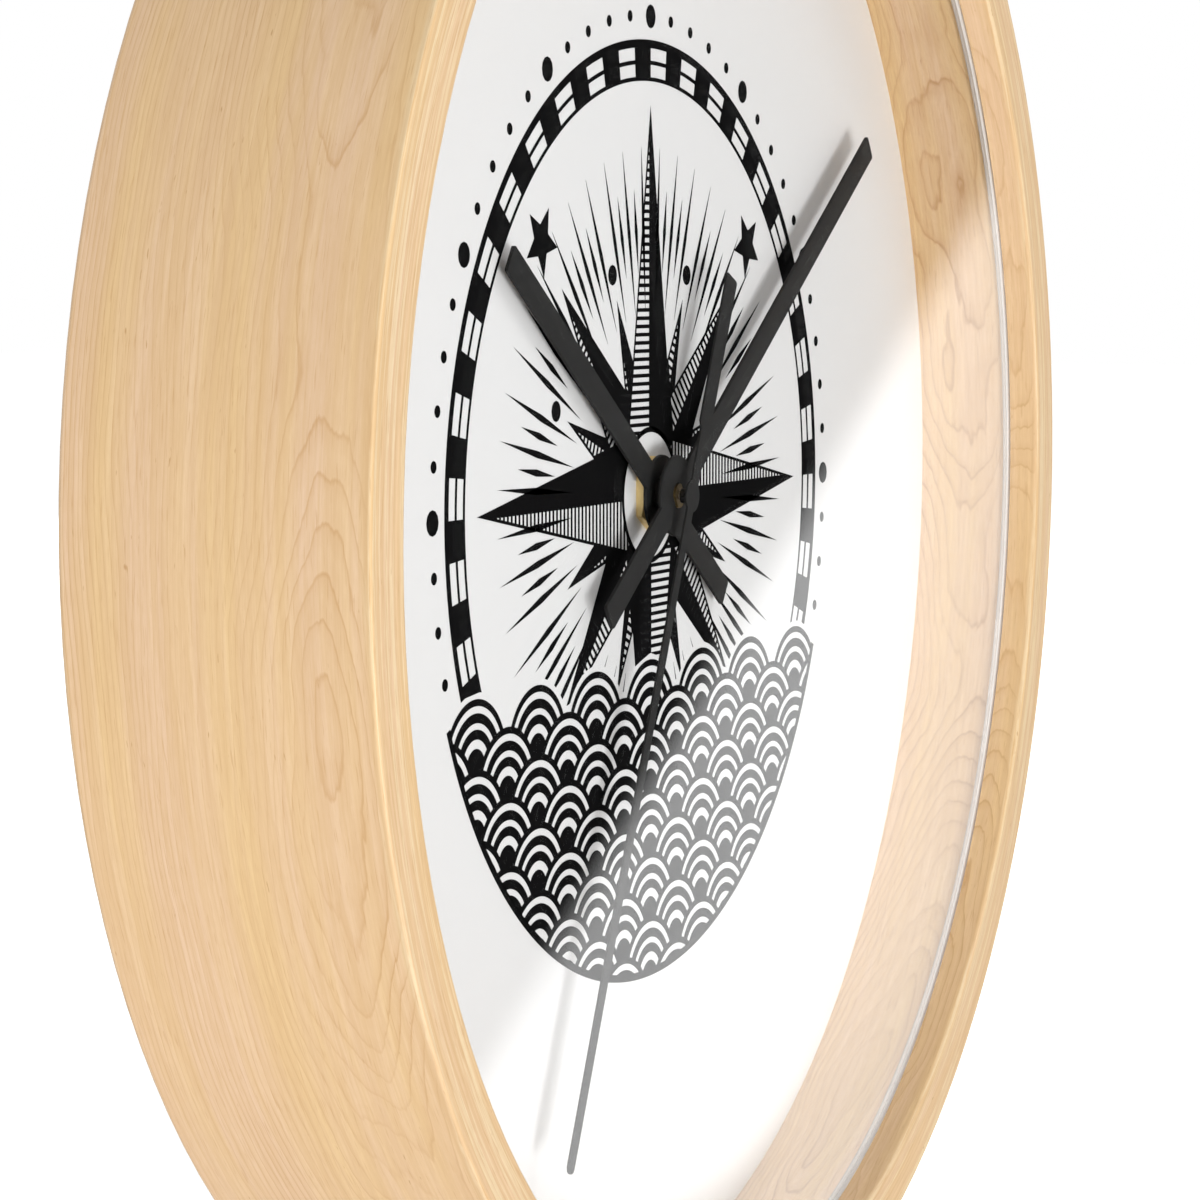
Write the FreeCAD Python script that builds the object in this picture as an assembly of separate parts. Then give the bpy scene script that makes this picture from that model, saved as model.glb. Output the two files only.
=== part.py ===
import FreeCAD, Part
import math
import os

# Round wall clock with a bent wooden frame, three hands and a battery movement.
# Millimetres. X points right, Z up and Y to the wall. The origin lies on the axis of the hands,
# in the plane of the wall, so the front of the clock looks along -Y.

# Wooden frame
frame_diameter = 254.0
frame_depth = 42.5
rim_width = 8.6
lip_depth = 5.0
rebate_depth = 2.4
outer_edge_round = 0.45
mouth_edge_round = 0.8
back_edge_round = 0.8

# Glass, spacer hoop, dial sheet and back board, which lie in the rebate one behind the other
glazing_clearance = 0.2
glass_thickness = 2.0
spacer_depth = 15.5
sheet_thickness = 0.4
board_thickness = 2.5
bush_hole_clearance = 0.3

# Steel points that hold the board in the frame
point_count = 8
point_length = 12.0
point_width = 6.0
point_thickness = 0.5
point_bite = 3.6
point_slot_clearance = 0.02

# Keyhole hanger on its wooden block, which hangs from the top of the rebate
block_glue_gap = 0.1
block_setback = 1.6
block_margin = 3.0
hanger_drop = 25.8
hanger_width = 46.0
hanger_thickness = 1.2
hanger_corner = 3.0
keyhole_radius = 4.5
keyhole_rise = 7.5
keyhole_slot_width = 4.6
keyhole_margin_below = 1.0
keyhole_margin_above = 2.7
pocket_margin = 1.0
pocket_rise = 3.5
pocket_depth = 7.0
screw_inset = 5.0
screw_head_radius = 3.0
screw_head_depth = 0.9
screw_shank_radius = 1.4
screw_tip_margin = 6.7
screw_slot_width = 0.8
screw_slot_depth = 0.5

# Fits shared by the whole movement
press_clearance = 0.02
running_clearance = 0.05
cut_overrun = 1.0

# Movement case and cover
washer_radius = 14.0
washer_thickness = 0.6
contact_room = 1.75
case_depth = 16.0
case_wall = 1.0
case_corner = 4.0
cover_thickness = 1.0
cover_lip_depth = 1.2
cover_lip_wall = 0.8
cover_lip_clearance = 0.1

# Threaded bush and its nut
bush_radius = 4.0
flange_radius = 6.0
flange_thickness = 0.5
nut_across_flats = 10.0
nut_thickness = 1.2
nut_chamfer = 0.35

# Battery and its bay
cell_diameter = 14.2
cell_length = 50.5
cell_edge_round = 0.6
button_diameter = 5.5
button_height = 1.5
cell_clearance = 0.4
saddle_spacing = 32.0
saddle_thickness = 1.2
saddle_height = 5.5
saddle_clearance = 0.2

# Tooth counts, leaves being the teeth of a pinion
rotor_leaves = 12
intermediate_teeth = 60
intermediate_leaves = 10
second_teeth = 60
second_leaves = 8
third_teeth = 60
third_leaves = 8
centre_teeth = 64
cannon_leaves = 12
motion_teeth = 36
motion_leaves = 10
hour_teeth = 40
knob_leaves = 12

# Shape of a tooth, as shares of its module and of its pitch
pressure_angle = math.radians(20.0)
addendum_share = 0.9
dedendum_share = 1.2
tooth_play_share = 0.12

# Where the arbors stand: distances between axes, and directions from +X towards +Z
third_distance = 9.0
third_direction = 60.0
motion_distance = 9.0
motion_direction = 180.0
intermediate_distance = 9.1
intermediate_direction = -15.0
rotor_distance = 6.5
rotor_direction = 10.0
knob_direction = 135.0

# Thicknesses and gaps along the arbors, from the dial side to the wall side
level_gap = 0.3
leaf_overlap = 0.1
hour_wheel_thickness = 0.8
motion_wheel_thickness = 0.7
middle_plate_thickness = 0.8
spring_thickness = 0.2
centre_wheel_thickness = 0.7
third_wheel_thickness = 0.6
second_wheel_thickness = 0.6
intermediate_wheel_thickness = 0.6
stator_thickness = 1.0
magnet_thickness = 1.4
magnet_radius = 3.0
bridge_thickness = 0.8
bridge_gap = 0.9

# Pipes and arbors
minute_pipe_radius = 1.8
minute_pipe_flat = 1.45
hour_pipe_wall = 0.75
second_arbor_radius = 0.5
core_radius = 0.6
pivot_radius = 0.35
clutch_seat_radius = 1.2
clutch_head_radius = 1.5
clutch_head_thickness = 0.1
spring_radius = 3.2
spring_arm_width = 1.4
stud_radius = 0.7

# Setting knob
knob_radius = 5.5
knob_thickness = 2.1
knob_grips = 24
knob_grip_depth = 0.4
knob_arbor_radius = 1.0
knob_pivot_radius = 0.5
well_clearance = 0.7
well_wall = 0.8
well_under_knob = 0.2
knob_setback = 0.3
knob_boss_radius = 1.5
knob_boss_height = 1.2

# Plates, posts and pins inside the case. Each post of the bridge stands beside a wheel or the
# stator, in a direction from +X towards +Z.
plate_side_margin = 3.7
plate_bottom_margin = 0.1
plate_circuit_gap = 1.9
plate_partition_gap = 1.2
middle_plate_corner = 3.0
case_post_inset = 2.3
case_post_radius = 1.6
post_pin_radius = 0.7
post_pin_length = 1.3
centre_post_direction = 201.4
third_post_left_direction = 160.7
third_post_right_direction = 22.0
rotor_post_direction = -71.8
bridge_post_gap = 0.65
bridge_post_radius = 1.3
bridge_pin_radius = 0.6
bridge_pin_height = 0.4
bridge_margin = 2.2

# Motor and circuit
stator_yoke_radius = 5.6
rotor_hole_radius = 3.5
leg_spread = 3.9
leg_rise = 2.0
leg_width = 3.2
foot_radius = 2.6
foot_spacing = 16.5
foot_side_room = 5.0
foot_height_share = 0.4
foot_pin_radius = 0.8
foot_post_radius = 1.4
core_width = 2.0
core_thickness = 1.0
bobbin_wall = 0.5
bobbin_flange_radius = 3.4
bobbin_flange_thickness = 0.5
bobbin_setback = 0.4
winding_radius = 3.1
winding_bore_radius = 2.0
circuit_wheel_gap = 0.5
circuit_thickness = 1.0
circuit_clearance = 0.5
circuit_shoulder_radius = 2.0
circuit_post_room = 5.0
circuit_post_rise = 3.0
chip_gap = 10.0
chip_rise = 3.6
chip_radius = 3.0
chip_height = 1.2
crystal_radius = 1.0
crystal_length = 6.0
crystal_gap = 6.0
crystal_drop = 2.0

# Battery contacts, bent from strip
strip_thickness = 0.3
strip_width = 5.2
strip_end_gap = 3.2
tongue_height = 8.6
tab_length = 3.2
tab_height = 2.7
contact_gap = 0.05
notch_depth = 1.5
notch_margin = 0.5

# Hands, with the angles in degrees clockwise from 12
hand_corner = 0.4
hub_radius = 6.0
hub_edge_round = 0.2
hour_angle = 304.4
hour_length = 61.4
hour_tail = 28.9
hour_width = 4.2
hour_hand_thickness = 0.5
hour_hub_gap = 0.4
hour_collet_radius = 3.05
hour_collet_length = 0.9
minute_angle = 56.0
minute_length = 95.6
minute_tail = 28.9
minute_width = 4.1
minute_hand_thickness = 0.5
minute_collet_radius = 2.95
minute_collet_length = 0.9
collet_gap = 0.1
minute_tip_out = 0.3
second_angle = 204.8
second_length = 101.3
second_width = 2.1
second_hand_thickness = 0.3
second_hub_radius = 2.4
second_tube_radius = 1.1
second_tube_length = 1.4
second_tube_gap = 0.4
neck_width = 2.5
weight_start = 10.3
weight_end = 35.3
weight_width = 4.0
weight_taper = 1.0

# Radii of the frame and of what lies in it
frame_radius = frame_diameter / 2
mouth_radius = frame_radius - rim_width
rebate_radius = mouth_radius + rebate_depth
pane_radius = rebate_radius - glazing_clearance

# Planes of the frame's contents, as Y values
glass_front = -frame_depth + lip_depth
glass_back = glass_front + glass_thickness
dial_front = glass_back + spacer_depth
sheet_back = dial_front + sheet_thickness
board_back = sheet_back + board_thickness
case_front = board_back + washer_thickness
case_back = case_front + case_depth
floor_back = case_front + case_wall
nut_front = dial_front - nut_thickness

# Planes of the wheels and plates
hour_wheel_front = floor_back + flange_thickness + level_gap
hour_wheel_back = hour_wheel_front + hour_wheel_thickness
motion_wheel_front = hour_wheel_back + level_gap
motion_wheel_back = motion_wheel_front + motion_wheel_thickness
middle_front = motion_wheel_back + level_gap
middle_back = middle_front + middle_plate_thickness
spring_front = middle_back + running_clearance
centre_wheel_front = spring_front + spring_thickness + running_clearance
centre_wheel_back = centre_wheel_front + centre_wheel_thickness
third_wheel_front = centre_wheel_back + level_gap
third_wheel_back = third_wheel_front + third_wheel_thickness
second_wheel_front = third_wheel_back + level_gap
second_wheel_back = second_wheel_front + second_wheel_thickness
intermediate_front = second_wheel_back + level_gap
intermediate_back = intermediate_front + intermediate_wheel_thickness
magnet_front = intermediate_back + level_gap
magnet_back = magnet_front + magnet_thickness
stator_front = magnet_front + (magnet_thickness - stator_thickness) / 2
stator_back = stator_front + stator_thickness
coil_core_back = stator_back + core_thickness
bridge_front = magnet_back + bridge_gap
bridge_back = bridge_front + bridge_thickness
circuit_front = middle_back
circuit_back = circuit_front + circuit_thickness
knob_back = case_back - knob_setback
knob_front = knob_back - knob_thickness
well_back = knob_front - well_under_knob
well_front = well_back - well_wall

# Planes of the hands
hour_hand_back = nut_front - hour_hub_gap
hour_hand_front = hour_hand_back - hour_hand_thickness
hour_collet_front = hour_hand_front - hour_collet_length
minute_collet_back = hour_collet_front - collet_gap
minute_hand_back = minute_collet_back - minute_collet_length
minute_hand_front = minute_hand_back - minute_hand_thickness
minute_tip_front = minute_hand_front - minute_tip_out
second_tube_back = minute_tip_front - second_tube_gap
second_hand_back = second_tube_back - second_tube_length
second_hand_front = second_hand_back - second_hand_thickness

# Radii that follow from the pipes
hour_pipe_bore = minute_pipe_radius + running_clearance
hour_pipe_radius = hour_pipe_bore + hour_pipe_wall
bush_bore = hour_pipe_radius + running_clearance
minute_pipe_bore = second_arbor_radius + running_clearance
pivot_hole_radius = pivot_radius + running_clearance


# Helpers for round and flat shapes

def point(place, y):
    return FreeCAD.Vector(place[0], y, place[1])


def rod(radius, front, back, place=(0, 0)):
    """A round bar along Y between two planes, at a place (x, z)."""
    return Part.makeCylinder(radius, back - front, point(place, front), FreeCAD.Vector(0, 1, 0))


def ring(outer, inner, front, back, place=(0, 0)):
    hole = rod(inner, front - cut_overrun, back + cut_overrun, place)
    return rod(outer, front, back, place).cut(hole)


def block(left, right, front, back, bottom, top):
    corner = FreeCAD.Vector(left, front, bottom)
    return Part.makeBox(right - left, back - front, top - bottom, corner)


def polar(distance, degrees, start=(0, 0)):
    """The place at a distance and a direction, counted from +X towards +Z."""
    angle = math.radians(degrees)
    return (start[0] + distance * math.cos(angle), start[1] + distance * math.sin(angle))


def rounded_outline(corners, y=None):
    """A closed wire through corners (a, b, round). With y it lies flat in that plane as (x, z).
    Without y it is a section of a turned shape, as (radius, y)."""
    def lay(a, b):
        return FreeCAD.Vector(a, b, 0) if y is None else FreeCAD.Vector(a, y, b)

    starts, ends, arcs = [], [], []
    count = len(corners)
    for i, (a, b, radius) in enumerate(corners):
        here = lay(a, b)
        if radius == 0:
            starts.append(here)
            ends.append(here)
            arcs.append(None)
            continue
        before = lay(*corners[i - 1][:2]).sub(here).normalize()
        after = lay(*corners[(i + 1) % count][:2]).sub(here).normalize()
        half_turn = before.getAngle(after) / 2
        reach = radius / math.tan(half_turn)
        inward = before.add(after).normalize()
        middle = here + inward * (radius / math.sin(half_turn) - radius)
        starts.append(here + before * reach)
        ends.append(here + after * reach)
        arcs.append(middle)
    edges = []
    for i in range(count):
        if arcs[i] is not None:
            edges.append(Part.Arc(starts[i], arcs[i], ends[i]).toShape())
        edges.append(Part.LineSegment(ends[i], starts[(i + 1) % count]).toShape())
    return Part.Wire(edges)


def slab(corners, front, back):
    """A flat shape with the given rounded outline."""
    face = Part.Face(rounded_outline(corners, front))
    return face.extrude(FreeCAD.Vector(0, back - front, 0))


def rounded_box(left, right, bottom, top, corner, front, back):
    corners = [(left, bottom, corner), (right, bottom, corner), (right, top, corner), (left, top, corner)]
    return slab(corners, front, back)


def turned(corners):
    """A solid of revolution about the axis of the hands."""
    face = Part.Face(rounded_outline(corners))
    return face.revolve(FreeCAD.Vector(0, 0, 0), FreeCAD.Vector(0, 1, 0), 360)


def bar_between(start, end, width, front, back):
    """A flat bar with round ends between two places."""
    dx = end[0] - start[0]
    dz = end[1] - start[1]
    length = math.hypot(dx, dz)
    bar = Part.makeBox(length, back - front, width, FreeCAD.Vector(0, front, -width / 2))
    bar.rotate(FreeCAD.Vector(0, 0, 0), FreeCAD.Vector(0, 1, 0), -math.degrees(math.atan2(dz, dx)))
    bar.translate(FreeCAD.Vector(start[0], 0, start[1]))
    return bar.fuse([rod(width / 2, front, back, start), rod(width / 2, front, back, end)])


def merged(shape):
    """One solid without leftover seams between its flat pieces."""
    clean = shape.removeSplitter()
    return clean.Solids[0] if len(clean.Solids) == 1 else clean


# Wheels and pinions

def involute(angle):
    return math.tan(angle) - angle


def module_of(distance, teeth, leaves):
    return 2 * distance / (teeth + leaves)


def tip_radius(teeth, module):
    return (teeth / 2 + addendum_share) * module


def tooth_half_angle(radius, pitch_radius, teeth):
    """Half a tooth's angle at a radius. The flank runs straight inwards below the base circle."""
    base_radius = pitch_radius * math.cos(pressure_angle)
    roll = math.acos(base_radius / radius) if radius > base_radius else 0
    at_pitch = math.pi / (2 * teeth) * (1 - tooth_play_share)
    return at_pitch + involute(pressure_angle) - involute(roll)


def toothed(teeth, module, place, phase, front, back, fine=False):
    """A toothed disc. phase is the direction of one tooth's middle, in radians from +X to +Z.
    fine adds the bend of the flank at the pitch circle, which a pinion's few teeth need."""
    pitch_radius = teeth * module / 2
    tip = tip_radius(teeth, module)
    root =pitch_radius - dedendum_share * module
    radii = [root, pitch_radius, tip] if fine else [root, tip]
    flank = [(radius, tooth_half_angle(radius, pitch_radius, teeth)) for radius in radii]
    corners = []
    for tooth in range(teeth):
        middle = phase + 2 * math.pi * tooth / teeth
        for radius, half in flank:
            corners.append((radius, middle - half))
        for radius, half in reversed(flank):
            corners.append((radius, middle + half))
    places = [(place[0] + r * math.cos(a), place[1] + r * math.sin(a)) for r, a in corners]
    wire = Part.makePolygon([point(p, front) for p in places + places[:1]])
    return Part.Face(wire).extrude(FreeCAD.Vector(0, back - front, 0))


def meshing_phase(driver_phase, driver_teeth, driver_place, teeth, place):
    """The phase that sets a gap of this gear on the driver's tooth at the line of centres."""
    line = math.atan2(place[1] - driver_place[1], place[0] - driver_place[0])
    offset = (driver_phase - line) * driver_teeth / teeth
    return line + math.pi + math.pi / teeth - offset


# Places of the arbors
centre = (0, 0)
third_place = polar(third_distance, third_direction)
motion_place = polar(motion_distance, motion_direction)
intermediate_place = polar(intermediate_distance, intermediate_direction)
rotor_place = polar(rotor_distance, rotor_direction, intermediate_place)

# Modules, each from the distance between the two axes
rotor_module = module_of(rotor_distance, intermediate_teeth, rotor_leaves)
second_module = module_of(intermediate_distance, second_teeth, intermediate_leaves)
third_module = module_of(third_distance, third_teeth, second_leaves)
centre_module = module_of(third_distance, centre_teeth, third_leaves)
motion_module = module_of(motion_distance, motion_teeth, cannon_leaves)
hour_module = module_of(motion_distance, hour_teeth, motion_leaves)
knob_distance = motion_module * (motion_teeth + knob_leaves) / 2
knob_place = polar(knob_distance, knob_direction, motion_place)

# Phases, so that every pair is in mesh at rest. A wheel and the pinion on its arbor share one phase.
second_phase = 0
intermediate_phase = meshing_phase(
    second_phase, second_teeth, centre, intermediate_leaves, intermediate_place)
rotor_phase = meshing_phase(
    intermediate_phase, intermediate_teeth, intermediate_place, rotor_leaves, rotor_place)
third_phase = meshing_phase(second_phase, second_leaves, centre, third_teeth, third_place)
centre_phase = meshing_phase(third_phase, third_leaves, third_place, centre_teeth, centre)
cannon_phase = 0
motion_phase = meshing_phase(cannon_phase, cannon_leaves, centre, motion_teeth, motion_place)
hour_phase = meshing_phase(motion_phase, motion_leaves, motion_place, hour_teeth, centre)
knob_phase = meshing_phase(motion_phase, motion_teeth, motion_place, knob_leaves, knob_place)

# Posts of the bridge, which keep clear of the wheels and the stator
centre_tip = tip_radius(centre_teeth, centre_module)
third_tip = tip_radius(third_teeth, third_module)
post_room = bridge_post_radius + bridge_post_gap
bridge_posts = [polar(centre_tip + post_room, centre_post_direction)]
bridge_posts.append(polar(third_tip + post_room, third_post_left_direction, third_place))
bridge_posts.append(polar(third_tip + post_room, third_post_right_direction, third_place))
bridge_posts.append(polar(stator_yoke_radius + post_room, rotor_post_direction, rotor_place))

# Inside the case from the train downwards: middle plate, partition and battery bay.
# The hands turn at half of its height, so the room above the train holds the circuit and the coil.
lowest = min([-centre_tip] + [place[1] - bridge_post_radius for place in bridge_posts])
widest = max(place[0] + bridge_post_radius for place in bridge_posts)
plate_bottom = lowest - plate_bottom_margin
plate_half = widest + plate_side_margin
train_bottom = plate_bottom - plate_partition_gap
bay_top = train_bottom - case_wall
cell_radius = cell_diameter / 2
cell_y = floor_back + cell_clearance + cell_radius
cell_z = bay_top - cell_clearance - cell_radius
inside_height = cell_radius + cell_clearance - cell_z
inside_width = cell_length / 2 + contact_room
half_height = inside_height + case_wall
half_width = inside_width + case_wall
circuit_bottom = third_place[1] + third_tip + circuit_wheel_gap
circuit_top = inside_height - circuit_clearance
plate_top = circuit_bottom - plate_circuit_gap
foot_right = inside_width - foot_side_room
foot_left = foot_right - foot_spacing
foot_height = circuit_bottom + foot_height_share * (circuit_top - circuit_bottom)

parts = {}


# Frame and what it holds

def point_directions():
    """Directions of the frame points, half a step from the top so that the hanger stays free."""
    step = 360 / point_count
    return [step * (i + 1 / 2) for i in range(point_count)]


def frame_point(clearance):
    """One flat steel point that lies on the board and bites into the wood, at the top of the clock."""
    tip = rebate_radius + point_bite + clearance
    half = point_width / 2 + clearance
    shape = block(
        -half, half, board_back - clearance, board_back + point_thickness + clearance,
        tip - point_length - clearance, tip)
    return shape


def around(shape, degrees):
    """A copy turned about the axis of the hands, clockwise from the front."""
    copy = shape.copy()
    copy.rotate(FreeCAD.Vector(0, 0, 0), FreeCAD.Vector(0, 1, 0), degrees)
    return copy


def make_frame():
    section = [
        (mouth_radius, -frame_depth, mouth_edge_round),
        (frame_radius, -frame_depth, outer_edge_round),
        (frame_radius, 0, back_edge_round),
        (rebate_radius, 0, 0),
        (rebate_radius, glass_front, 0),
        (mouth_radius, glass_front, 0),
    ]
    hoop = turned(section)
    slots = [around(frame_point(point_slot_clearance), d) for d in point_directions()]
    return hoop.cut(slots)


def make_glass():
    return rod(pane_radius, glass_front, glass_back)


def make_spacer():
    return ring(pane_radius, mouth_radius, glass_back, dial_front)


def make_sheet():
    return ring(pane_radius, bush_radius + bush_hole_clearance, dial_front, sheet_back)


def make_board():
    return ring(pane_radius, bush_radius + bush_hole_clearance, sheet_back, board_back)


def make_frame_points():
    return Part.makeCompound([around(frame_point(0), d) for d in point_directions()])


parts["wooden_frame"] = make_frame()
parts["glass_pane"] = make_glass()
parts["spacer_hoop"] = make_spacer()
parts["dial_sheet"] = make_sheet()
parts["back_board"] = make_board()
parts["frame_points"] = make_frame_points()

# Hanger
block_back = -block_setback
hanger_back = block_back + hanger_thickness
hanger_bottom = rebate_radius - hanger_drop
keyhole_height = hanger_bottom + keyhole_margin_below + keyhole_radius
slot_top = keyhole_height + keyhole_rise + keyhole_slot_width / 2
hanger_top = slot_top + keyhole_margin_above
half_hanger = hanger_width / 2
screw_tip = board_back + screw_tip_margin
hanger_screw_places = [
    (side * (half_hanger - screw_inset), (hanger_bottom + hanger_top) / 2) for side in (-1, 1)]


def make_hanger_block():
    top = rebate_radius - block_glue_gap
    half_block = half_hanger + block_margin
    body = block(
        -half_block, half_block, board_back, block_back, hanger_bottom - block_margin, rebate_radius)
    body = body.common(rod(top, board_back, block_back))
    half_pocket = keyhole_radius + pocket_margin
    pocket = block(
        -half_pocket, half_pocket, block_back - pocket_depth, block_back + cut_overrun,
        keyhole_height - keyhole_radius, keyhole_height + keyhole_rise + pocket_rise)
    holes = [
        rod(screw_shank_radius + press_clearance, screw_tip - cut_overrun, block_back + cut_overrun, place)
        for place in hanger_screw_places]
    return body.cut([pocket] + holes)


def screw_head(place, clearance):
    """The cone of a countersunk head, flush with the back of the hanger plate."""
    head_front = hanger_back - screw_head_depth
    return Part.makeCone(
        screw_shank_radius + clearance, screw_head_radius + clearance, screw_head_depth,
        point(place, head_front), FreeCAD.Vector(0, 1, 0))


def make_hanger_plate():
    plate = rounded_box(
        -half_hanger, half_hanger, hanger_bottom, hanger_top, hanger_corner, block_back, hanger_back)
    front = block_back - cut_overrun
    back = hanger_back + cut_overrun
    entry = rod(keyhole_radius, front, back, (0, keyhole_height))
    slot = bar_between(
        (0, keyhole_height), (0, keyhole_height + keyhole_rise), keyhole_slot_width, front, back)
    cuts = [entry, slot]
    for place in hanger_screw_places:
        cuts.append(screw_head(place, press_clearance))
        cuts.append(rod(screw_shank_radius + press_clearance, front, back, place))
    return plate.cut(cuts)


def make_hanger_screw(place):
    shank = rod(screw_shank_radius, screw_tip, hanger_back - screw_head_depth, place)
    slot = block(
        place[0] - screw_head_radius - cut_overrun, place[0] + screw_head_radius + cut_overrun,
        hanger_back - screw_slot_depth, hanger_back + cut_overrun,
        place[1] - screw_slot_width / 2, place[1] + screw_slot_width / 2)
    return merged(screw_head(place, 0).fuse(shank)).cut(slot)


parts["hanger_block"] = make_hanger_block()
parts["hanger_plate"] = make_hanger_plate()
parts["hanger_screws"] = Part.makeCompound([make_hanger_screw(place) for place in hanger_screw_places])

# Movement case
case_posts = [
    (side * (plate_half - case_post_inset), height)
    for side in (-1, 1) for height in (plate_bottom + case_post_inset, plate_top - case_post_inset)]
foot_places = [(foot_left, foot_height), (foot_right, foot_height)]
circuit_post = (circuit_post_room - inside_width, circuit_bottom + circuit_post_rise)
cover_front = case_back - cover_thickness
strip_front = circuit_back
strip_back = strip_front + strip_width


def case_shell():
    shell = rounded_box(
        -half_width, half_width, -half_height, half_height, case_corner, case_front, case_back)
    inner_corner = case_corner - case_wall
    inside = rounded_box(
        -inside_width, inside_width, -inside_height, inside_height, inner_corner,
        floor_back, case_back + cut_overrun)
    cover_seat = block(
        -half_width - cut_overrun, half_width + cut_overrun, cover_front, case_back + cut_overrun,
        bay_top, half_height + cut_overrun)
    return shell.cut([inside, cover_seat])


def bay_partition():
    """The wall between the battery and the wheels, notched at both ends for the contact strips."""
    wall = block(-inside_width, inside_width, floor_back, cover_front, bay_top, train_bottom)
    notches = []
    for side in (-1, 1):
        outer = side * inside_width
        inner = side * (inside_width - notch_depth)
        notches.append(block(
            min(outer, inner), max(outer, inner), strip_front - notch_margin, strip_back + notch_margin,
            bay_top - cut_overrun, train_bottom + cut_overrun))
    return wall.cut(notches)


def cell_saddle(x):
    """A rib hollowed to the round of the battery."""
    half = saddle_thickness / 2
    rib = block(x - half, x + half, floor_back, floor_back + saddle_height, -inside_height, bay_top)
    hollow = Part.makeCylinder(
        cell_radius + saddle_clearance, saddle_thickness + 2 * cut_overrun,
        FreeCAD.Vector(x - half - cut_overrun, cell_y, cell_z), FreeCAD.Vector(1, 0, 0))
    return rib.cut(hollow)


def make_case():
    pieces = [bay_partition()]
    for side in (-1, 1):
        pieces.append(cell_saddle(side * saddle_spacing / 2))
    for place in case_posts:
        pieces.append(rod(case_post_radius, floor_back, middle_front, place))
        pieces.append(rod(post_pin_radius, middle_front, middle_front + post_pin_length, place))
    for place in foot_places:
        pieces.append(rod(circuit_shoulder_radius, floor_back, circuit_front, place))
        pieces.append(rod(foot_post_radius, circuit_front, stator_front, place))
        pieces.append(rod(foot_pin_radius, stator_front, coil_core_back + level_gap, place))
    pieces.append(rod(circuit_shoulder_radius, floor_back, circuit_front, circuit_post))
    pieces.append(rod(foot_post_radius, circuit_front, circuit_back + level_gap, circuit_post))
    pieces.append(rod(stud_radius, floor_back, middle_front, motion_place))
    boss_back = floor_back + knob_boss_height
    pieces.append(ring(
        knob_boss_radius, knob_pivot_radius + running_clearance, floor_back, boss_back, knob_place))
    body = case_shell().fuse(pieces)
    bush_hole = rod(bush_radius + press_clearance, case_front - cut_overrun, floor_back + cut_overrun)
    return merged(body.cut(bush_hole))


def make_cover():
    inner_corner = case_corner - case_wall - cover_lip_clearance
    plate = slab(
        [(-half_width, bay_top, 0), (half_width, bay_top, 0),
         (half_width, half_height, case_corner), (-half_width, half_height, case_corner)],
        cover_front, case_back)
    lip_half = inside_width - cover_lip_clearance
    lip_top = inside_height - cover_lip_clearance
    lip_bottom = train_bottom + cover_lip_clearance
    lip_front = cover_front - cover_lip_depth
    lip = slab(
        [(-lip_half, lip_bottom, 0), (lip_half, lip_bottom, 0),
         (lip_half, lip_top, inner_corner), (-lip_half, lip_top, inner_corner)],
        lip_front, cover_front)
    hollow_half = lip_half - cover_lip_wall
    hollow = block(
        -hollow_half, hollow_half, lip_front - cut_overrun, cover_front,
        lip_bottom + cover_lip_wall, lip_top - cover_lip_wall)
    well_radius = knob_radius + well_clearance
    cup = rod(well_radius + well_wall, well_front, cover_front, knob_place)
    body = plate.fuse([lip.cut(hollow), cup])
    body = body.cut(rod(well_radius, well_back, case_back + cut_overrun, knob_place))
    arbor_hole = rod(
        knob_arbor_radius + running_clearance, well_front - cut_overrun, well_back + cut_overrun, knob_place)
    return merged(body.cut(arbor_hole))


def make_bush():
    sleeve = rod(bush_radius, nut_front, floor_back)
    flange = rod(flange_radius, floor_back, floor_back + flange_thickness)
    bore = rod(bush_bore, nut_front - cut_overrun, floor_back + flange_thickness + cut_overrun)
    return merged(sleeve.fuse(flange)).cut(bore)


def make_nut():
    """A hexagon with one flat upright on each side, and its front corners turned to a cone."""
    corner_radius = nut_across_flats / math.sqrt(3)
    corners = [(*polar(corner_radius, 30 + 60 * i), 0) for i in range(6)]
    hexagon = slab(corners, nut_front, dial_front)
    cone_back = nut_front + nut_chamfer
    limit = rod(corner_radius, cone_back, dial_front)
    taper = Part.makeCone(
        nut_across_flats / 2, corner_radius, nut_chamfer,
        FreeCAD.Vector(0, nut_front, 0), FreeCAD.Vector(0, 1, 0))
    shape = hexagon.common(merged(limit.fuse(taper)))
    return shape.cut(rod(bush_radius + press_clearance, nut_front - cut_overrun, dial_front + cut_overrun))


parts["movement_case"] = make_case()
parts["movement_cover"] = make_cover()
parts["rubber_washer"] = ring(washer_radius, bush_radius + press_clearance, board_back, case_front)
parts["threaded_bush"] = make_bush()
parts["fixing_nut"] = make_nut()

# Plates inside the case


def make_middle_plate():
    plate = rounded_box(
        -plate_half, plate_half, plate_bottom, plate_top, middle_plate_corner, middle_front, middle_back)
    posts = []
    for place in bridge_posts:
        posts.append(rod(bridge_post_radius, middle_back, bridge_front, place))
        posts.append(rod(bridge_pin_radius, bridge_front, bridge_back + bridge_pin_height, place))
    front = middle_front - cut_overrun
    back = middle_back + cut_overrun
    holes = [rod(minute_pipe_radius + running_clearance, front, back)]
    for place in (third_place, intermediate_place, rotor_place):
        holes.append(rod(pivot_hole_radius, front, back, place))
    holes.append(rod(knob_arbor_radius + running_clearance, front, back, knob_place))
    for place in case_posts:
        holes.append(rod(post_pin_radius + press_clearance, front, back, place))
    return merged(plate.cut(holes).fuse(posts))


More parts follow.
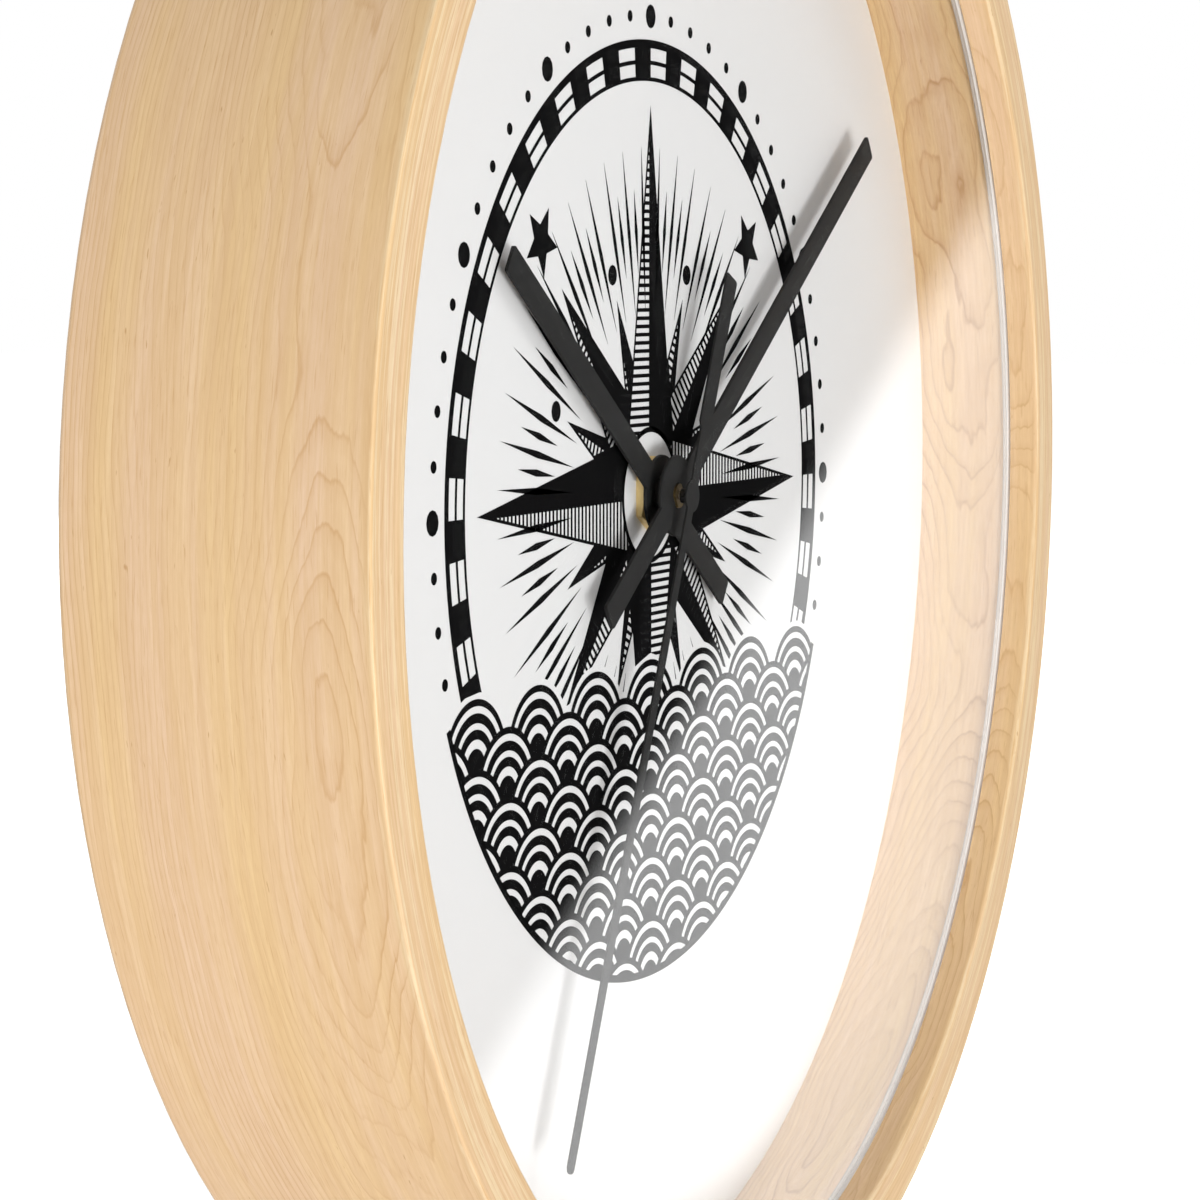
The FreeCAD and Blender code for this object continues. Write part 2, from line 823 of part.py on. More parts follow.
def make_bridge():
    """The plate on the four posts that holds the rear pivots."""
    ring_of_posts = [point(place, bridge_front) for place in bridge_posts]
    wire = Part.makePolygon(ring_of_posts + ring_of_posts[:1])
    outline = Part.Face(wire).makeOffset2D(bridge_margin)
    plate = outline.extrude(FreeCAD.Vector(0, bridge_thickness, 0))
    front = bridge_front - cut_overrun
    back = bridge_back + cut_overrun
    holes = [rod(second_arbor_radius + running_clearance, front, back)]
    for place in (third_place, intermediate_place, rotor_place):
        holes.append(rod(pivot_hole_radius, front, back, place))
    for place in bridge_posts:
        holes.append(rod(bridge_pin_radius + press_clearance, front, back, place))
    return plate.cut(holes)


parts["middle_plate"] = make_middle_plate()
parts["train_bridge"] = make_bridge()

# Wheels of the going train


def pivoted_core(place):
    """A thin arbor from the middle plate to the bridge, with a pivot in each."""
    start = middle_back + running_clearance
    end = bridge_front - running_clearance
    core = rod(core_radius, start, end, place)
    pivots = [
        rod(pivot_radius, middle_front, start, place),
        rod(pivot_radius, end, bridge_back, place)]
    return core.fuse(pivots)


def make_intermediate_wheel():
    wheel = toothed(
        intermediate_teeth, rotor_module, intermediate_place, intermediate_phase,
        intermediate_front, intermediate_back)
    pinion = toothed(
        intermediate_leaves, second_module, intermediate_place, intermediate_phase,
        second_wheel_front - leaf_overlap, intermediate_front, fine=True)
    return merged(pivoted_core(intermediate_place).fuse([wheel, pinion]))


def make_third_wheel():
    wheel = toothed(
        third_teeth, third_module, third_place, third_phase, third_wheel_front, third_wheel_back)
    pinion = toothed(
        third_leaves, centre_module, third_place, third_phase,
        centre_wheel_front - leaf_overlap, third_wheel_front, fine=True)
    return merged(pivoted_core(third_place).fuse([wheel, pinion]))


def make_second_wheel():
    wheel = toothed(
        second_teeth, second_module, centre, second_phase, second_wheel_front, second_wheel_back)
    pinion = toothed(
        second_leaves, third_module, centre, second_phase,
        third_wheel_front - leaf_overlap, second_wheel_front, fine=True)
    bore = rod(
        second_arbor_radius + press_clearance, third_wheel_front - cut_overrun,
        second_wheel_back + cut_overrun)
    return merged(wheel.fuse(pinion)).cut(bore)


def make_second_arbor():
    return rod(second_arbor_radius, second_hand_back + second_hand_thickness, bridge_back)


def make_centre_wheel():
    wheel = toothed(
        centre_teeth, centre_module, centre, centre_phase, centre_wheel_front, centre_wheel_back)
    bore = rod(
        clutch_seat_radius + running_clearance, centre_wheel_front - cut_overrun,
        centre_wheel_back + cut_overrun)
    return wheel.cut(bore)


def make_rotor_pinion():
    pinion = toothed(
        rotor_leaves, rotor_module, rotor_place, rotor_phase,
        intermediate_front - leaf_overlap, intermediate_back + leaf_overlap, fine=True)
    return merged(pivoted_core(rotor_place).fuse(pinion))


def make_rotor_magnet():
    return ring(magnet_radius, core_radius + press_clearance, magnet_front, magnet_back, rotor_place)


parts["intermediate_wheel"] = make_intermediate_wheel()
parts["third_wheel"] = make_third_wheel()
parts["second_wheel"] = make_second_wheel()
parts["second_arbor"] = make_second_arbor()
parts["centre_wheel"] = make_centre_wheel()
parts["rotor_pinion"] = make_rotor_pinion()
parts["rotor_magnet"] = make_rotor_magnet()

# Motion work and setting


def make_minute_pipe():
    """Pipe with the cannon pinion, two flats for the minute hand and a seat for the slipping wheel."""
    tip = rod(minute_pipe_radius, minute_tip_front, minute_hand_back)
    flats = block(
        -minute_pipe_radius, minute_pipe_radius, minute_tip_front, minute_hand_back,
        -minute_pipe_flat, minute_pipe_flat)
    tip = around(tip.common(flats), minute_angle)
    barrel = rod(minute_pipe_radius, minute_hand_back, spring_front)
    pinion = toothed(
        cannon_leaves, motion_module, centre, cannon_phase,
        motion_wheel_front - leaf_overlap, motion_wheel_back + leaf_overlap, fine=True)
    seat_end = centre_wheel_back + running_clearance
    seat = rod(clutch_seat_radius, spring_front, seat_end)
    head = rod(clutch_head_radius, seat_end, seat_end + clutch_head_thickness)
    bore = rod(minute_pipe_bore, minute_tip_front - cut_overrun, seat_end + cut_overrun)
    return merged(tip.fuse([barrel, pinion, seat, head])).cut(bore)


def make_friction_spring():
    """A thin washer with three arms that presses the centre wheel against the head of the pipe."""
    back = spring_front + spring_thickness
    hub = rod(minute_pipe_radius, spring_front, back)
    arms = [
        bar_between(centre, polar(spring_radius, 360 / 3 * i), spring_arm_width, spring_front, back)
        for i in range(3)]
    hole = rod(clutch_seat_radius + press_clearance, spring_front - cut_overrun, back + cut_overrun)
    return merged(hub.fuse(arms)).cut(hole)


def make_motion_wheel():
    wheel = toothed(
        motion_teeth, motion_module, motion_place, motion_phase, motion_wheel_front, motion_wheel_back)
    pinion = toothed(
        motion_leaves, hour_module, motion_place, motion_phase,
        hour_wheel_front - leaf_overlap, motion_wheel_front, fine=True)
    bore = rod(
        stud_radius + running_clearance, hour_wheel_front - cut_overrun,
        motion_wheel_back + cut_overrun, motion_place)
    return merged(wheel.fuse(pinion)).cut(bore)


def make_hour_wheel():
    wheel = toothed(hour_teeth, hour_module, centre, hour_phase, hour_wheel_front, hour_wheel_back)
    pipe = rod(hour_pipe_radius, hour_collet_front, hour_wheel_front)
    bore = rod(hour_pipe_bore, hour_collet_front - cut_overrun, hour_wheel_back + cut_overrun)
    return merged(wheel.fuse(pipe)).cut(bore)


def make_setting_knob():
    """Gripped disc in the well of the cover, on an arbor whose pinion turns the motion wheel."""
    disc = toothed_grip()
    arbor = rod(knob_arbor_radius, motion_wheel_back, knob_front, knob_place)
    pinion = toothed(
        knob_leaves, motion_module, knob_place, knob_phase,
        motion_wheel_front - leaf_overlap, motion_wheel_back + leaf_overlap, fine=True)
    pivot = rod(knob_pivot_radius, floor_back + running_clearance, motion_wheel_front, knob_place)
    return merged(disc.fuse([arbor, pinion, pivot]))


def toothed_grip():
    """The knob's disc with small notches round its edge."""
    corners = []
    for i in range(knob_grips):
        step = 360 / knob_grips
        corners.append((*polar(knob_radius, step * i, knob_place), 0))
        corners.append((*polar(knob_radius, step * (i + 1 / 2), knob_place), 0))
        corners.append((*polar(knob_radius - knob_grip_depth, step * (i + 3 / 4), knob_place), 0))
    return slab(corners, knob_front, knob_back)


parts["minute_pipe"] = make_minute_pipe()
parts["friction_spring"] = make_friction_spring()
parts["motion_wheel"] = make_motion_wheel()
parts["hour_wheel"] = make_hour_wheel()
parts["setting_knob"] = make_setting_knob()

# Motor


def make_stator():
    """Flat iron plate: a yoke round the rotor and two legs to the ends of the coil's core."""
    pieces = []
    for side, foot in zip((-1, 1), foot_places):
        root = (rotor_place[0] + side * leg_spread, rotor_place[1] + leg_rise)
        pieces.append(bar_between(root, foot, leg_width, stator_front, stator_back))
        pieces.append(rod(foot_radius, stator_front, stator_back, foot))
    body = rod(stator_yoke_radius, stator_front, stator_back, rotor_place).fuse(pieces)
    front = stator_front - cut_overrun
    back = stator_back + cut_overrun
    holes = [rod(rotor_hole_radius, front, back, rotor_place)]
    for foot in foot_places:
        holes.append(rod(foot_pin_radius + press_clearance, front, back, foot))
    return merged(body.cut(holes))


def make_coil_core():
    bar = block(
        foot_left, foot_right, stator_back, coil_core_back,
        foot_height - core_width / 2, foot_height + core_width / 2)
    pads = [rod(foot_radius, stator_back, coil_core_back, foot) for foot in foot_places]
    holes = [
        rod(foot_pin_radius + press_clearance, stator_back - cut_overrun, coil_core_back + cut_overrun, foot)
        for foot in foot_places]
    return merged(bar.fuse(pads).cut(holes))


coil_y = stator_back + core_thickness / 2
bobbin_left = foot_left + foot_radius + bobbin_setback
bobbin_right = foot_right - foot_radius - bobbin_setback


def along_coil(radius, left, right):
    return Part.makeCylinder(
        radius, right - left, FreeCAD.Vector(left, coil_y, foot_height), FreeCAD.Vector(1, 0, 0))


def coil_box(margin, left, right):
    """The bobbin's square tube round the core, grown by a margin."""
    half_y = core_thickness / 2 + margin
    half_z = core_width / 2 + margin
    return block(left, right, coil_y - half_y, coil_y + half_y, foot_height - half_z, foot_height + half_z)


def make_bobbin():
    tube = coil_box(press_clearance + bobbin_wall, bobbin_left, bobbin_right)
    flanges = [
        along_coil(bobbin_flange_radius, bobbin_left, bobbin_left + bobbin_flange_thickness),
        along_coil(bobbin_flange_radius, bobbin_right - bobbin_flange_thickness, bobbin_right)]
    hole = coil_box(press_clearance, bobbin_left - cut_overrun, bobbin_right + cut_overrun)
    return merged(tube.fuse(flanges).cut(hole))


def make_winding():
    left = bobbin_left + bobbin_flange_thickness
    right = bobbin_right - bobbin_flange_thickness
    bore = along_coil(winding_bore_radius, left - cut_overrun, right + cut_overrun)
    return along_coil(winding_radius, left, right).cut(bore)


parts["stator"] = make_stator()
parts["coil_core"] = make_coil_core()
parts["coil_bobbin"] = make_bobbin()
parts["coil_winding"] = make_winding()

# Circuit, contacts and battery


def make_circuit_board():
    half = inside_width - circuit_clearance
    corner = case_corner - case_wall
    board = slab(
        [(-half, circuit_bottom, 0), (half, circuit_bottom, 0),
         (half, circuit_top, corner), (-half, circuit_top, corner)],
        circuit_front, circuit_back)
    holes = [
        rod(foot_post_radius + press_clearance, circuit_front - cut_overrun, circuit_back + cut_overrun, place)
        for place in foot_places + [circuit_post]]
    return board.cut(holes)


def make_driver_chip():
    """A drop of black resin over the chip: a low dome cut from a ball."""
    ball_radius = (chip_radius ** 2 + chip_height ** 2) / (2 * chip_height)
    place = (circuit_post[0] + chip_gap, circuit_bottom + chip_rise)
    ball = Part.makeSphere(ball_radius, point(place, circuit_back + chip_height - ball_radius))
    cap = rod(chip_radius + cut_overrun, circuit_back, circuit_back + chip_height + cut_overrun, place)
    return ball.common(cap)


def make_crystal():
    start = point((foot_left - crystal_gap, circuit_top - crystal_drop), circuit_back + crystal_radius)
    return Part.makeCylinder(crystal_radius, crystal_length, start, FreeCAD.Vector(-1, 0, 0))


def make_contact(side):
    """A strip up the side wall, a sprung tongue at the battery's end and a tab on the circuit board."""
    wall = side * inside_width
    inner = side * (inside_width - strip_thickness)
    strip_top = inside_height - strip_end_gap
    spine = block(min(wall, inner), max(wall, inner), strip_front, strip_back, -strip_top, strip_top)
    tab_end = side * (inside_width - tab_length)
    tab = block(
        min(wall, tab_end), max(wall, tab_end), circuit_back, circuit_back + strip_thickness,
        strip_top - tab_height, strip_top)
    crest = side * (cell_length / 2 + contact_gap)
    crest_outer = side * (cell_length / 2 + contact_gap + strip_thickness)
    low = cell_z - tongue_height / 2
    high = cell_z + tongue_height / 2
    inner_arc = Part.Arc(
        point((inner, low), strip_front), point((crest, cell_z), strip_front),
        point((inner, high), strip_front)).toShape()
    outer_arc = Part.Arc(
        point((wall, high), strip_front), point((crest_outer, cell_z), strip_front),
        point((wall, low), strip_front)).toShape()
    ends = [
        Part.LineSegment(point((inner, high), strip_front), point((wall, high), strip_front)).toShape(),
        Part.LineSegment(point((wall, low), strip_front), point((inner, low), strip_front)).toShape()]
    outline = Part.Wire([inner_arc, ends[0], outer_arc, ends[1]])
    tongue = Part.Face(outline).extrude(FreeCAD.Vector(0, strip_width, 0))
    return merged(spine.fuse([tab, tongue]))


def make_cell():
    """The battery, lying along X with its button at the right."""
    half = cell_length / 2
    shoulder = half - button_height
    can = Part.makeCylinder(
        cell_radius, shoulder + half, FreeCAD.Vector(-half, cell_y, cell_z), FreeCAD.Vector(1, 0, 0))
    can = can.makeFillet(cell_edge_round, [e for e in can.Edges if len(e.Vertexes) == 1])
    button = Part.makeCylinder(
        button_diameter / 2, button_height, FreeCAD.Vector(shoulder, cell_y, cell_z), FreeCAD.Vector(1, 0, 0))
    return merged(can.fuse(button))


parts["circuit_board"] = make_circuit_board()
parts["driver_chip"] = make_driver_chip()
parts["quartz_crystal"] = make_crystal()
parts["positive_contact"] = make_contact(1)
parts["negative_contact"] = make_contact(-1)
parts["battery_cell"] = make_cell()

# Hands, built upright and then turned to the time they show


def soft_disc(radius, front, back, edge_round):
    """A disc whose front rim is rounded."""
    corners = [(0, front, 0), (radius, front, edge_round), (radius, back, 0), (0, back, 0)]
    return turned(corners)


def hand_bar(width, bottom, top, front, back, corner):
    return rounded_box(-width / 2, width / 2, bottom, top, corner, front, back)


def make_hour_hand():
    bar = hand_bar(hour_width, -hour_tail, hour_length, hour_hand_front, hour_hand_back, hand_corner)
    hub = soft_disc(hub_radius, hour_hand_front, hour_hand_back, hub_edge_round)
    hole = rod(hour_pipe_radius + press_clearance, hour_hand_front - cut_overrun, hour_hand_back + cut_overrun)
    return around(merged(bar.fuse(hub)).cut(hole), hour_angle)


def make_minute_hand():
    bar = hand_bar(
        minute_width, -minute_tail, minute_length, minute_hand_front, minute_hand_back, hand_corner)
    hub = soft_disc(hub_radius, minute_hand_front, minute_hand_back, hub_edge_round)
    front = minute_hand_front - cut_overrun
    back = minute_hand_back + cut_overrun
    radius = minute_pipe_radius + press_clearance
    flat = minute_pipe_flat + press_clearance
    hole = rod(radius, front, back).common(block(-radius, radius, front, back, -flat, flat))
    return around(merged(bar.fuse(hub)).cut(hole), minute_angle)


def make_second_hand():
    """Thin needle with a hub, a neck and a wider counterweight bar behind."""
    hub = rod(second_hub_radius, second_hand_front, second_hand_back)
    needle = bar_between(
        centre, (0, second_length - second_width / 2), second_width, second_hand_front, second_hand_back)
    half_neck = neck_width / 2
    half_weight = weight_width / 2
    weight = slab(
        [(-half_neck, 0, 0), (-half_neck, -weight_start, 0),
         (-half_weight, -weight_start - weight_taper, 0), (-half_weight, -weight_end, hand_corner),
         (half_weight, -weight_end, hand_corner), (half_weight, -weight_start - weight_taper, 0),
         (half_neck, -weight_start, 0), (half_neck, 0, 0)],
        second_hand_front, second_hand_back)
    return around(merged(hub.fuse([needle, weight])), second_angle)


def make_second_tube():
    tube = rod(second_tube_radius, second_hand_back, second_tube_back)
    return tube.cut(rod(
        second_arbor_radius + press_clearance, second_hand_back + second_hand_thickness,
        second_tube_back + cut_overrun))


parts["hour_hand"] = make_hour_hand()
parts["hour_collet"] = ring(
    hour_collet_radius, hour_pipe_radius + press_clearance, hour_collet_front, hour_hand_front)
parts["minute_hand"] = make_minute_hand()
parts["minute_collet"] = ring(
    minute_collet_radius, minute_pipe_radius + press_clearance, minute_hand_back, minute_collet_back)
parts["second_hand"] = make_second_hand()
parts["second_tube"] = make_second_tube()

os.makedirs("parts", exist_ok=True)
for name, shape in parts.items():
    shape.exportStep("parts/" + name + ".step")
print(len(parts), "parts")
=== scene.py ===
# %% [markdown]
# # A round maple wall clock, dressed for the studio
# The solids of the clock come from the imported CAD model. This lesson gives them
# their finishes, prints the dial, marks the back and sets up the studio.
# We load the model first. Blender counts in metres and a clockmaker in
# millimetres, so one value changes between the two.

# %% Load the imported clock
import bpy, bmesh, math
from mathutils import Matrix, Vector


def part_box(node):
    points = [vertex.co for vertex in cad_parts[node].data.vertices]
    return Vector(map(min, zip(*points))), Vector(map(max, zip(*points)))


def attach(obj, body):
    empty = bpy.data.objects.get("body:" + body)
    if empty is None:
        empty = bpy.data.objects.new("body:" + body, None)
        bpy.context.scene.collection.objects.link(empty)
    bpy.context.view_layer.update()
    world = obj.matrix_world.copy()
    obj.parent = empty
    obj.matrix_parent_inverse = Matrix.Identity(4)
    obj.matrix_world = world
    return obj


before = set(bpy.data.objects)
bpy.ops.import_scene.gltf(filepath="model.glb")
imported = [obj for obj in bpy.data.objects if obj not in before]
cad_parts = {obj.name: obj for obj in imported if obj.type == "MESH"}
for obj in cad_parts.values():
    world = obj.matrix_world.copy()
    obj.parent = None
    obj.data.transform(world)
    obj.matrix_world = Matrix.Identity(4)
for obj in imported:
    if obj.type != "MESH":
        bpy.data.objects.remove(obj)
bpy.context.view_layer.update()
mm = 1000  # millimetres in a metre

# %% [markdown]
# ## The camera
# The clock is seen from its front left, far enough round that the wooden side
# fills half of the picture. A long lens keeps the ring from bulging. Its place
# was worked out from the ellipses of the frame, so it needs no lens shift.

# %% Place the camera
heading, tilt = math.radians(65.325), math.radians(-4.98)
sensor_width, lens_length, photo_side = 36, 111.5, 1200  # mm, mm and picture points
camera = bpy.data.objects.new("camera", bpy.data.cameras.new("camera"))
camera.data.sensor_width, camera.data.lens = sensor_width, lens_length
camera.data.clip_start, camera.data.clip_end = 0.01, 50
camera.location = (-0.5013, -0.2433, 0.0322)
camera.rotation_euler = (math.pi / 2 + tilt, 0, -heading)
bpy.context.scene.collection.objects.link(camera)
bpy.context.scene.camera = camera
print("camera is", round(camera.location.length, 3), "m from the middle of the back")

# %% [markdown]
# ## A short way to write finishes
# A finish in Blender is a small graph of nodes. Writing each link by hand is
# slow to read, so one helper makes a node, sets its plain values and joins
# whatever else it is given. Others open an empty finish and close it again.
# Wood, plastic and metal all end in the same general shader, so closing a
# finish with that one has a helper of its own.

# %% Helpers for nodes and finishes
def add(tree, kind, wired=None, **settings):
    """A new node; wired gives its sockets a number, a colour or another socket."""
    node = tree.nodes.new("ShaderNode" + kind)
    for key, value in settings.items():
        setattr(node, key, value)
    for key, value in (wired or {}).items():
        if isinstance(value, bpy.types.NodeSocket):
            tree.links.new(value, node.inputs[key])
        else:
            node.inputs[key].default_value = value
    return node


def open_finish(name):
    finish = bpy.data.materials.new(name)
    finish.use_nodes = True
    finish.node_tree.nodes.clear()
    return finish, finish.node_tree


def close_finish(tree, shader):
    tree.links.new(shader, add(tree, "OutputMaterial").inputs["Surface"])


def close_solid(tree, sockets):
    """Closes a finish with the general shader for solid matter."""
    close_finish(tree, add(tree, "BsdfPrincipled", sockets).outputs[0])

print("finishes can be opened and closed")

# %% [markdown]
# ## Sums, colours and patterns
# A pattern starts from a place on the object. We stretch that place, let a
# cloudy noise turn it into a number from 0 to 1, sharpen the number with a
# ramp, and use it to mix two colours, to vary the gloss or to raise a relief.

# %% Helpers for sums
def calc(tree, sum_kind, a, b=0.0):
    return add(tree, "Math", {0: a, 1: b}, operation=sum_kind).outputs[0]


def times(tree, a, b):
    return calc(tree, "MULTIPLY", a, b)


def plus(tree, a, b):
    return calc(tree, "ADD", a, b)


def minus(tree, a, b):
    return calc(tree, "SUBTRACT", a, b)


def distance(tree, a, b):
    """The length of a slant that goes a one way and b square to it."""
    return calc(tree, "SQRT", plus(tree, times(tree, a, a), times(tree, b, b)))


def rescale(tree, value, low, high, to_low=0.0, to_high=1.0, **settings):
    """value counted anew, so that low becomes to_low and high becomes to_high."""
    return add(tree, "MapRange", {0: value, 1: low, 2: high, 3: to_low, 4: to_high}, **settings).outputs[0]

print("sums are ready")

# %% Helpers for colours and patterns
colour_a, colour_b, colour_out = 6, 7, 2  # where Blender's Mix node keeps its colours


def tint(tree, share, first, second):
    """Two colours mixed by share, which is a number or a socket."""
    node = add(tree, "Mix", {0: share}, data_type="RGBA")
    for slot_number, colour in ((colour_a, first), (colour_b, second)):
        if isinstance(colour, bpy.types.NodeSocket):
            tree.links.new(colour, node.inputs[slot_number])
        else:
            node.inputs[slot_number].default_value = (*colour, 1)
    return node.outputs[colour_out]


def steps(tree, value, *stops):
    """A ramp from value to a grey, through (place, grey) stops."""
    node = add(tree, "ValToRGB", {0: value})
    points = node.color_ramp.elements
    while len(points) < len(stops):
        points.new(0.5)
    for point, (place, grey) in zip(points, stops):
        point.position, point.color = place, (grey, grey, grey, 1)
    return node.outputs[0]


def place_of(tree):
    return add(tree, "TexCoord").outputs["Object"]


def stretched(tree, vector, sizes):
    """The same place counted in other units, to stretch a pattern."""
    return add(tree, "VectorMath", {0: vector, 1: sizes}, operation="MULTIPLY").outputs[0]


def cloud(tree, vector, scale, detail, rough=0.5):
    sockets = {"Vector": vector, "Scale": scale, "Detail": detail, "Roughness": rough}
    return add(tree, "TexNoise", sockets).outputs[0]


def relief(tree, height, depth):
    return add(tree, "Bump", {"Height": height, "Distance": depth}).outputs[0]

print("patterns are ready")

# %% [markdown]
# ## The studio
# The room is white for the camera and for reflections, but gives the clock
# only a soft grey light, so pale wood keeps its colour. The floor is pale too:
# it glows for the camera and still darkens under the clock, while the pane and
# the metals look past it into the white room. It throws no shadow itself,
# because two of the lamps stand lower than it.

# %% White room
pure_white, room_light = (1, 1, 1, 1), 0.44


def seen_directly(tree):
    """1 for the camera, in reflections and through the pane, 0 for plain light."""
    ray = add(tree, "LightPath").outputs
    seen = calc(tree, "MAXIMUM", ray["Is Camera Ray"], ray["Is Glossy Ray"])
    return calc(tree, "MAXIMUM", seen, ray["Is Transmission Ray"])

scene = bpy.context.scene
scene.view_settings.view_transform = "Standard"
room = bpy.data.worlds.new("studio_room")
scene.world = room
room.use_nodes = True
tree = room.node_tree
tree.nodes.clear()
soft_grey = add(tree, "Background", {"Color": pure_white, "Strength": room_light})
bare_white = add(tree, "Background", {"Color": pure_white, "Strength": 1.0})
both = add(tree, "MixShader", {0: seen_directly(tree), 1: soft_grey.outputs[0], 2: bare_white.outputs[0]})
tree.links.new(both.outputs[0], add(tree, "OutputWorld").inputs["Surface"])
print("the room lights the clock at", room_light)

# %% Pale floor
floor_reach, floor_level = 6, -0.1275  # half a millimetre under the hoop
floor_glow, floor_paper = 0.67, (0.84, 0.84, 0.84, 1)


def flat_sheet(name, low, high, level=0.0):
    """One flat rectangle between two corners, each given as (x, y)."""
    corners = [(low[0], low[1], level), (high[0], low[1], level), (high[0], high[1], level), (low[0], high[1], level)]
    mesh = bpy.data.meshes.new(name)
    mesh.from_pydata(corners, [], [(0, 1, 2, 3)])
    sheet = bpy.data.objects.new(name, mesh)
    scene.collection.objects.link(sheet)
    return sheet

floor = flat_sheet("floor", (-floor_reach, -floor_reach), (floor_reach, floor_reach), floor_level)
floor.visible_shadow = floor.visible_glossy = floor.visible_transmission = False
floor_finish, tree = open_finish("floor_paper")
matt = add(tree, "BsdfDiffuse", {"Color": floor_paper})
glow = add(tree, "Emission", {"Color": pure_white, "Strength": times(tree, seen_directly(tree), floor_glow)})
close_finish(tree, add(tree, "AddShader", {0: matt.outputs[0], 1: glow.outputs[0]}).outputs[0])
floor.data.materials.append(floor_finish)
print("floor at", floor_level * mm, "mm")

# %% [markdown]
# ## The lamps
# The hands throw a soft shadow up and to their left as the camera sees it, with
# a double tip. That tells us of two soft boxes side by side, in front, to the
# left and low. A weak lamp hangs in front and above, one fills the left side,
# and one behind the clock, to its right, keeps the back readable. None of them
# shows in the picture. Gloss and glass may mirror the two soft boxes, which
# draw the bright line along the front edge, and the lamp above.

# %% Lamps
lamps_aim = Vector((0, -0.02, 0))  # the middle of the clock, from its front to its back


def hang_lamp(name, place, width, height, watts, mirrored=False):
    lamp = bpy.data.objects.new(name, bpy.data.lights.new(name, "AREA"))
    lamp.data.shape, lamp.data.size, lamp.data.size_y, lamp.data.energy = "RECTANGLE", width, height, watts
    lamp.location = place
    lamp.rotation_euler = (lamps_aim - Vector(place)).to_track_quat("-Z", "Y").to_euler()
    lamp.visible_camera, lamp.visible_glossy = False, mirrored
    scene.collection.objects.link(lamp)
    print(name, "at", place, "with", watts, "W")

hang_lamp("key_left", (-1.36, -1.61, -0.66), 0.36, 0.58, 15.6, mirrored=True)
hang_lamp("key_right", (-0.92, -1.90, -0.66), 0.36, 0.58, 15.6, mirrored=True)
hang_lamp("side_fill", (-1.6, 0.35, 0.1), 0.8, 0.8, 5.4)
hang_lamp("overhead", (0.05, -1.2, 1.25), 0.7, 0.7, 5.0, mirrored=True)
hang_lamp("behind", (1.25, 1.25, 0.5), 1.0, 1.0, 11.5)

# %% [markdown]
# ## What the glass mirrors
# Seen at a slant, the pane mirrors a patch of the room beside the clock. The
# upper left of it is dark and keeps the print black; the lower right is a
# bright soft box that turns it grey. We stand one card there, half black and
# half glowing, and find its edge by sending two picture points off the pane.
# Its dark half is wide, so that the dial shows no edge of the card when the
# clock is seen from elsewhere.

# %% Where the pane sends a picture point
pane_front, pane_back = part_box("glass_pane")[0].y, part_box("glass_pane")[1].y
focal = camera.data.lens / camera.data.sensor_width * photo_side
forward = Vector((math.sin(heading) * math.cos(tilt), math.cos(heading) * math.cos(tilt), math.sin(tilt)))
sideways = Vector((math.cos(heading), -math.sin(heading), 0))
upward = sideways.cross(forward)
card_distance = 1.3
card_way = Vector((0.918, -0.392, -0.06)).normalized()
card_right = Vector((-card_way.y, card_way.x, 0)).normalized()
card_up = card_way.cross(card_right)
card_middle = Vector((-0.02, pane_front, 0)) + card_way * card_distance


def on_card(column, row):
    """Where the card shows in the pane at a picture point, from the card's middle."""
    ray = forward * focal + sideways * (column - photo_side / 2) + upward * (photo_side / 2 - row)
    hit = camera.location + ray * ((pane_front - camera.location.y) / ray.y)
    bounced = Vector((ray.x, -ray.y, ray.z))
    there = hit + bounced * ((card_middle - hit).dot(card_way) / bounced.dot(card_way)) - card_middle
    return Vector((there.dot(card_right), there.dot(card_up)))

edge_top, edge_low = on_card(975, 205), on_card(590, 880)
print("card edge runs", [round(v, 3) for v in edge_low], "to", [round(v, 3) for v in edge_top])

# %% Mirror card
dark_corner, bright_corner = (-1.15, -0.7), (0.6, 0.55)
edge_start, edge_end = -0.008, 0.016  # the soft edge between dark and bright, from the line that was found
card_glow, card_grey = 1.9, 0.35
card = flat_sheet("mirror_card", dark_corner, bright_corner)
card.matrix_world = Matrix((card_right, card_up, -card_way)).transposed().to_4x4()
card.location = card_middle
card.visible_camera = card.visible_diffuse = card.visible_shadow = False

card_finish, tree = open_finish("mirror_card_light")
slope = (edge_top - edge_low).normalized()
place, low_point = place_of(tree), (edge_low.x, edge_low.y, 0)
away = add(tree, "VectorMath", {0: place, 1: low_point}, operation="SUBTRACT").outputs[0]
past_edge = add(tree, "VectorMath", {0: away, 1: (slope.y, -slope.x, 0)}, operation="DOT_PRODUCT").outputs[1]
bright = rescale(tree, past_edge, edge_start, edge_end, interpolation_type="SMOOTHSTEP")
along_card = add(tree, "SeparateXYZ", {0: place}).outputs[0]
share = rescale(tree, along_card, on_card(560, 900).x, on_card(980, 600).x)
falling = steps(tree, share, (0.0, 0.97), (0.57, 0.93), (0.78, 0.84), (0.9, 0.76), (1.0, 0.66))
level = times(tree, falling, card_glow)
sharp = add(tree, "LightPath").outputs["Is Singular Ray"]  # only the pane mirrors sharply; the wood sees plain grey
glow = add(tree, "Mix", {0: sharp, 2: card_grey, 3: times(tree, bright, level)}).outputs[0]
close_finish(tree, add(tree, "Emission", {"Color": pure_white, "Strength": glow}).outputs[0])
card.data.materials.append(card_finish)

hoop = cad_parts["wooden_frame"]
hoop.visible_glossy = hoop.visible_transmission = False  # else it hides the card from the pane's right edge
print("card is", [round(high - low, 2) for low, high in zip(dark_corner, bright_corner)], "m wide and high")

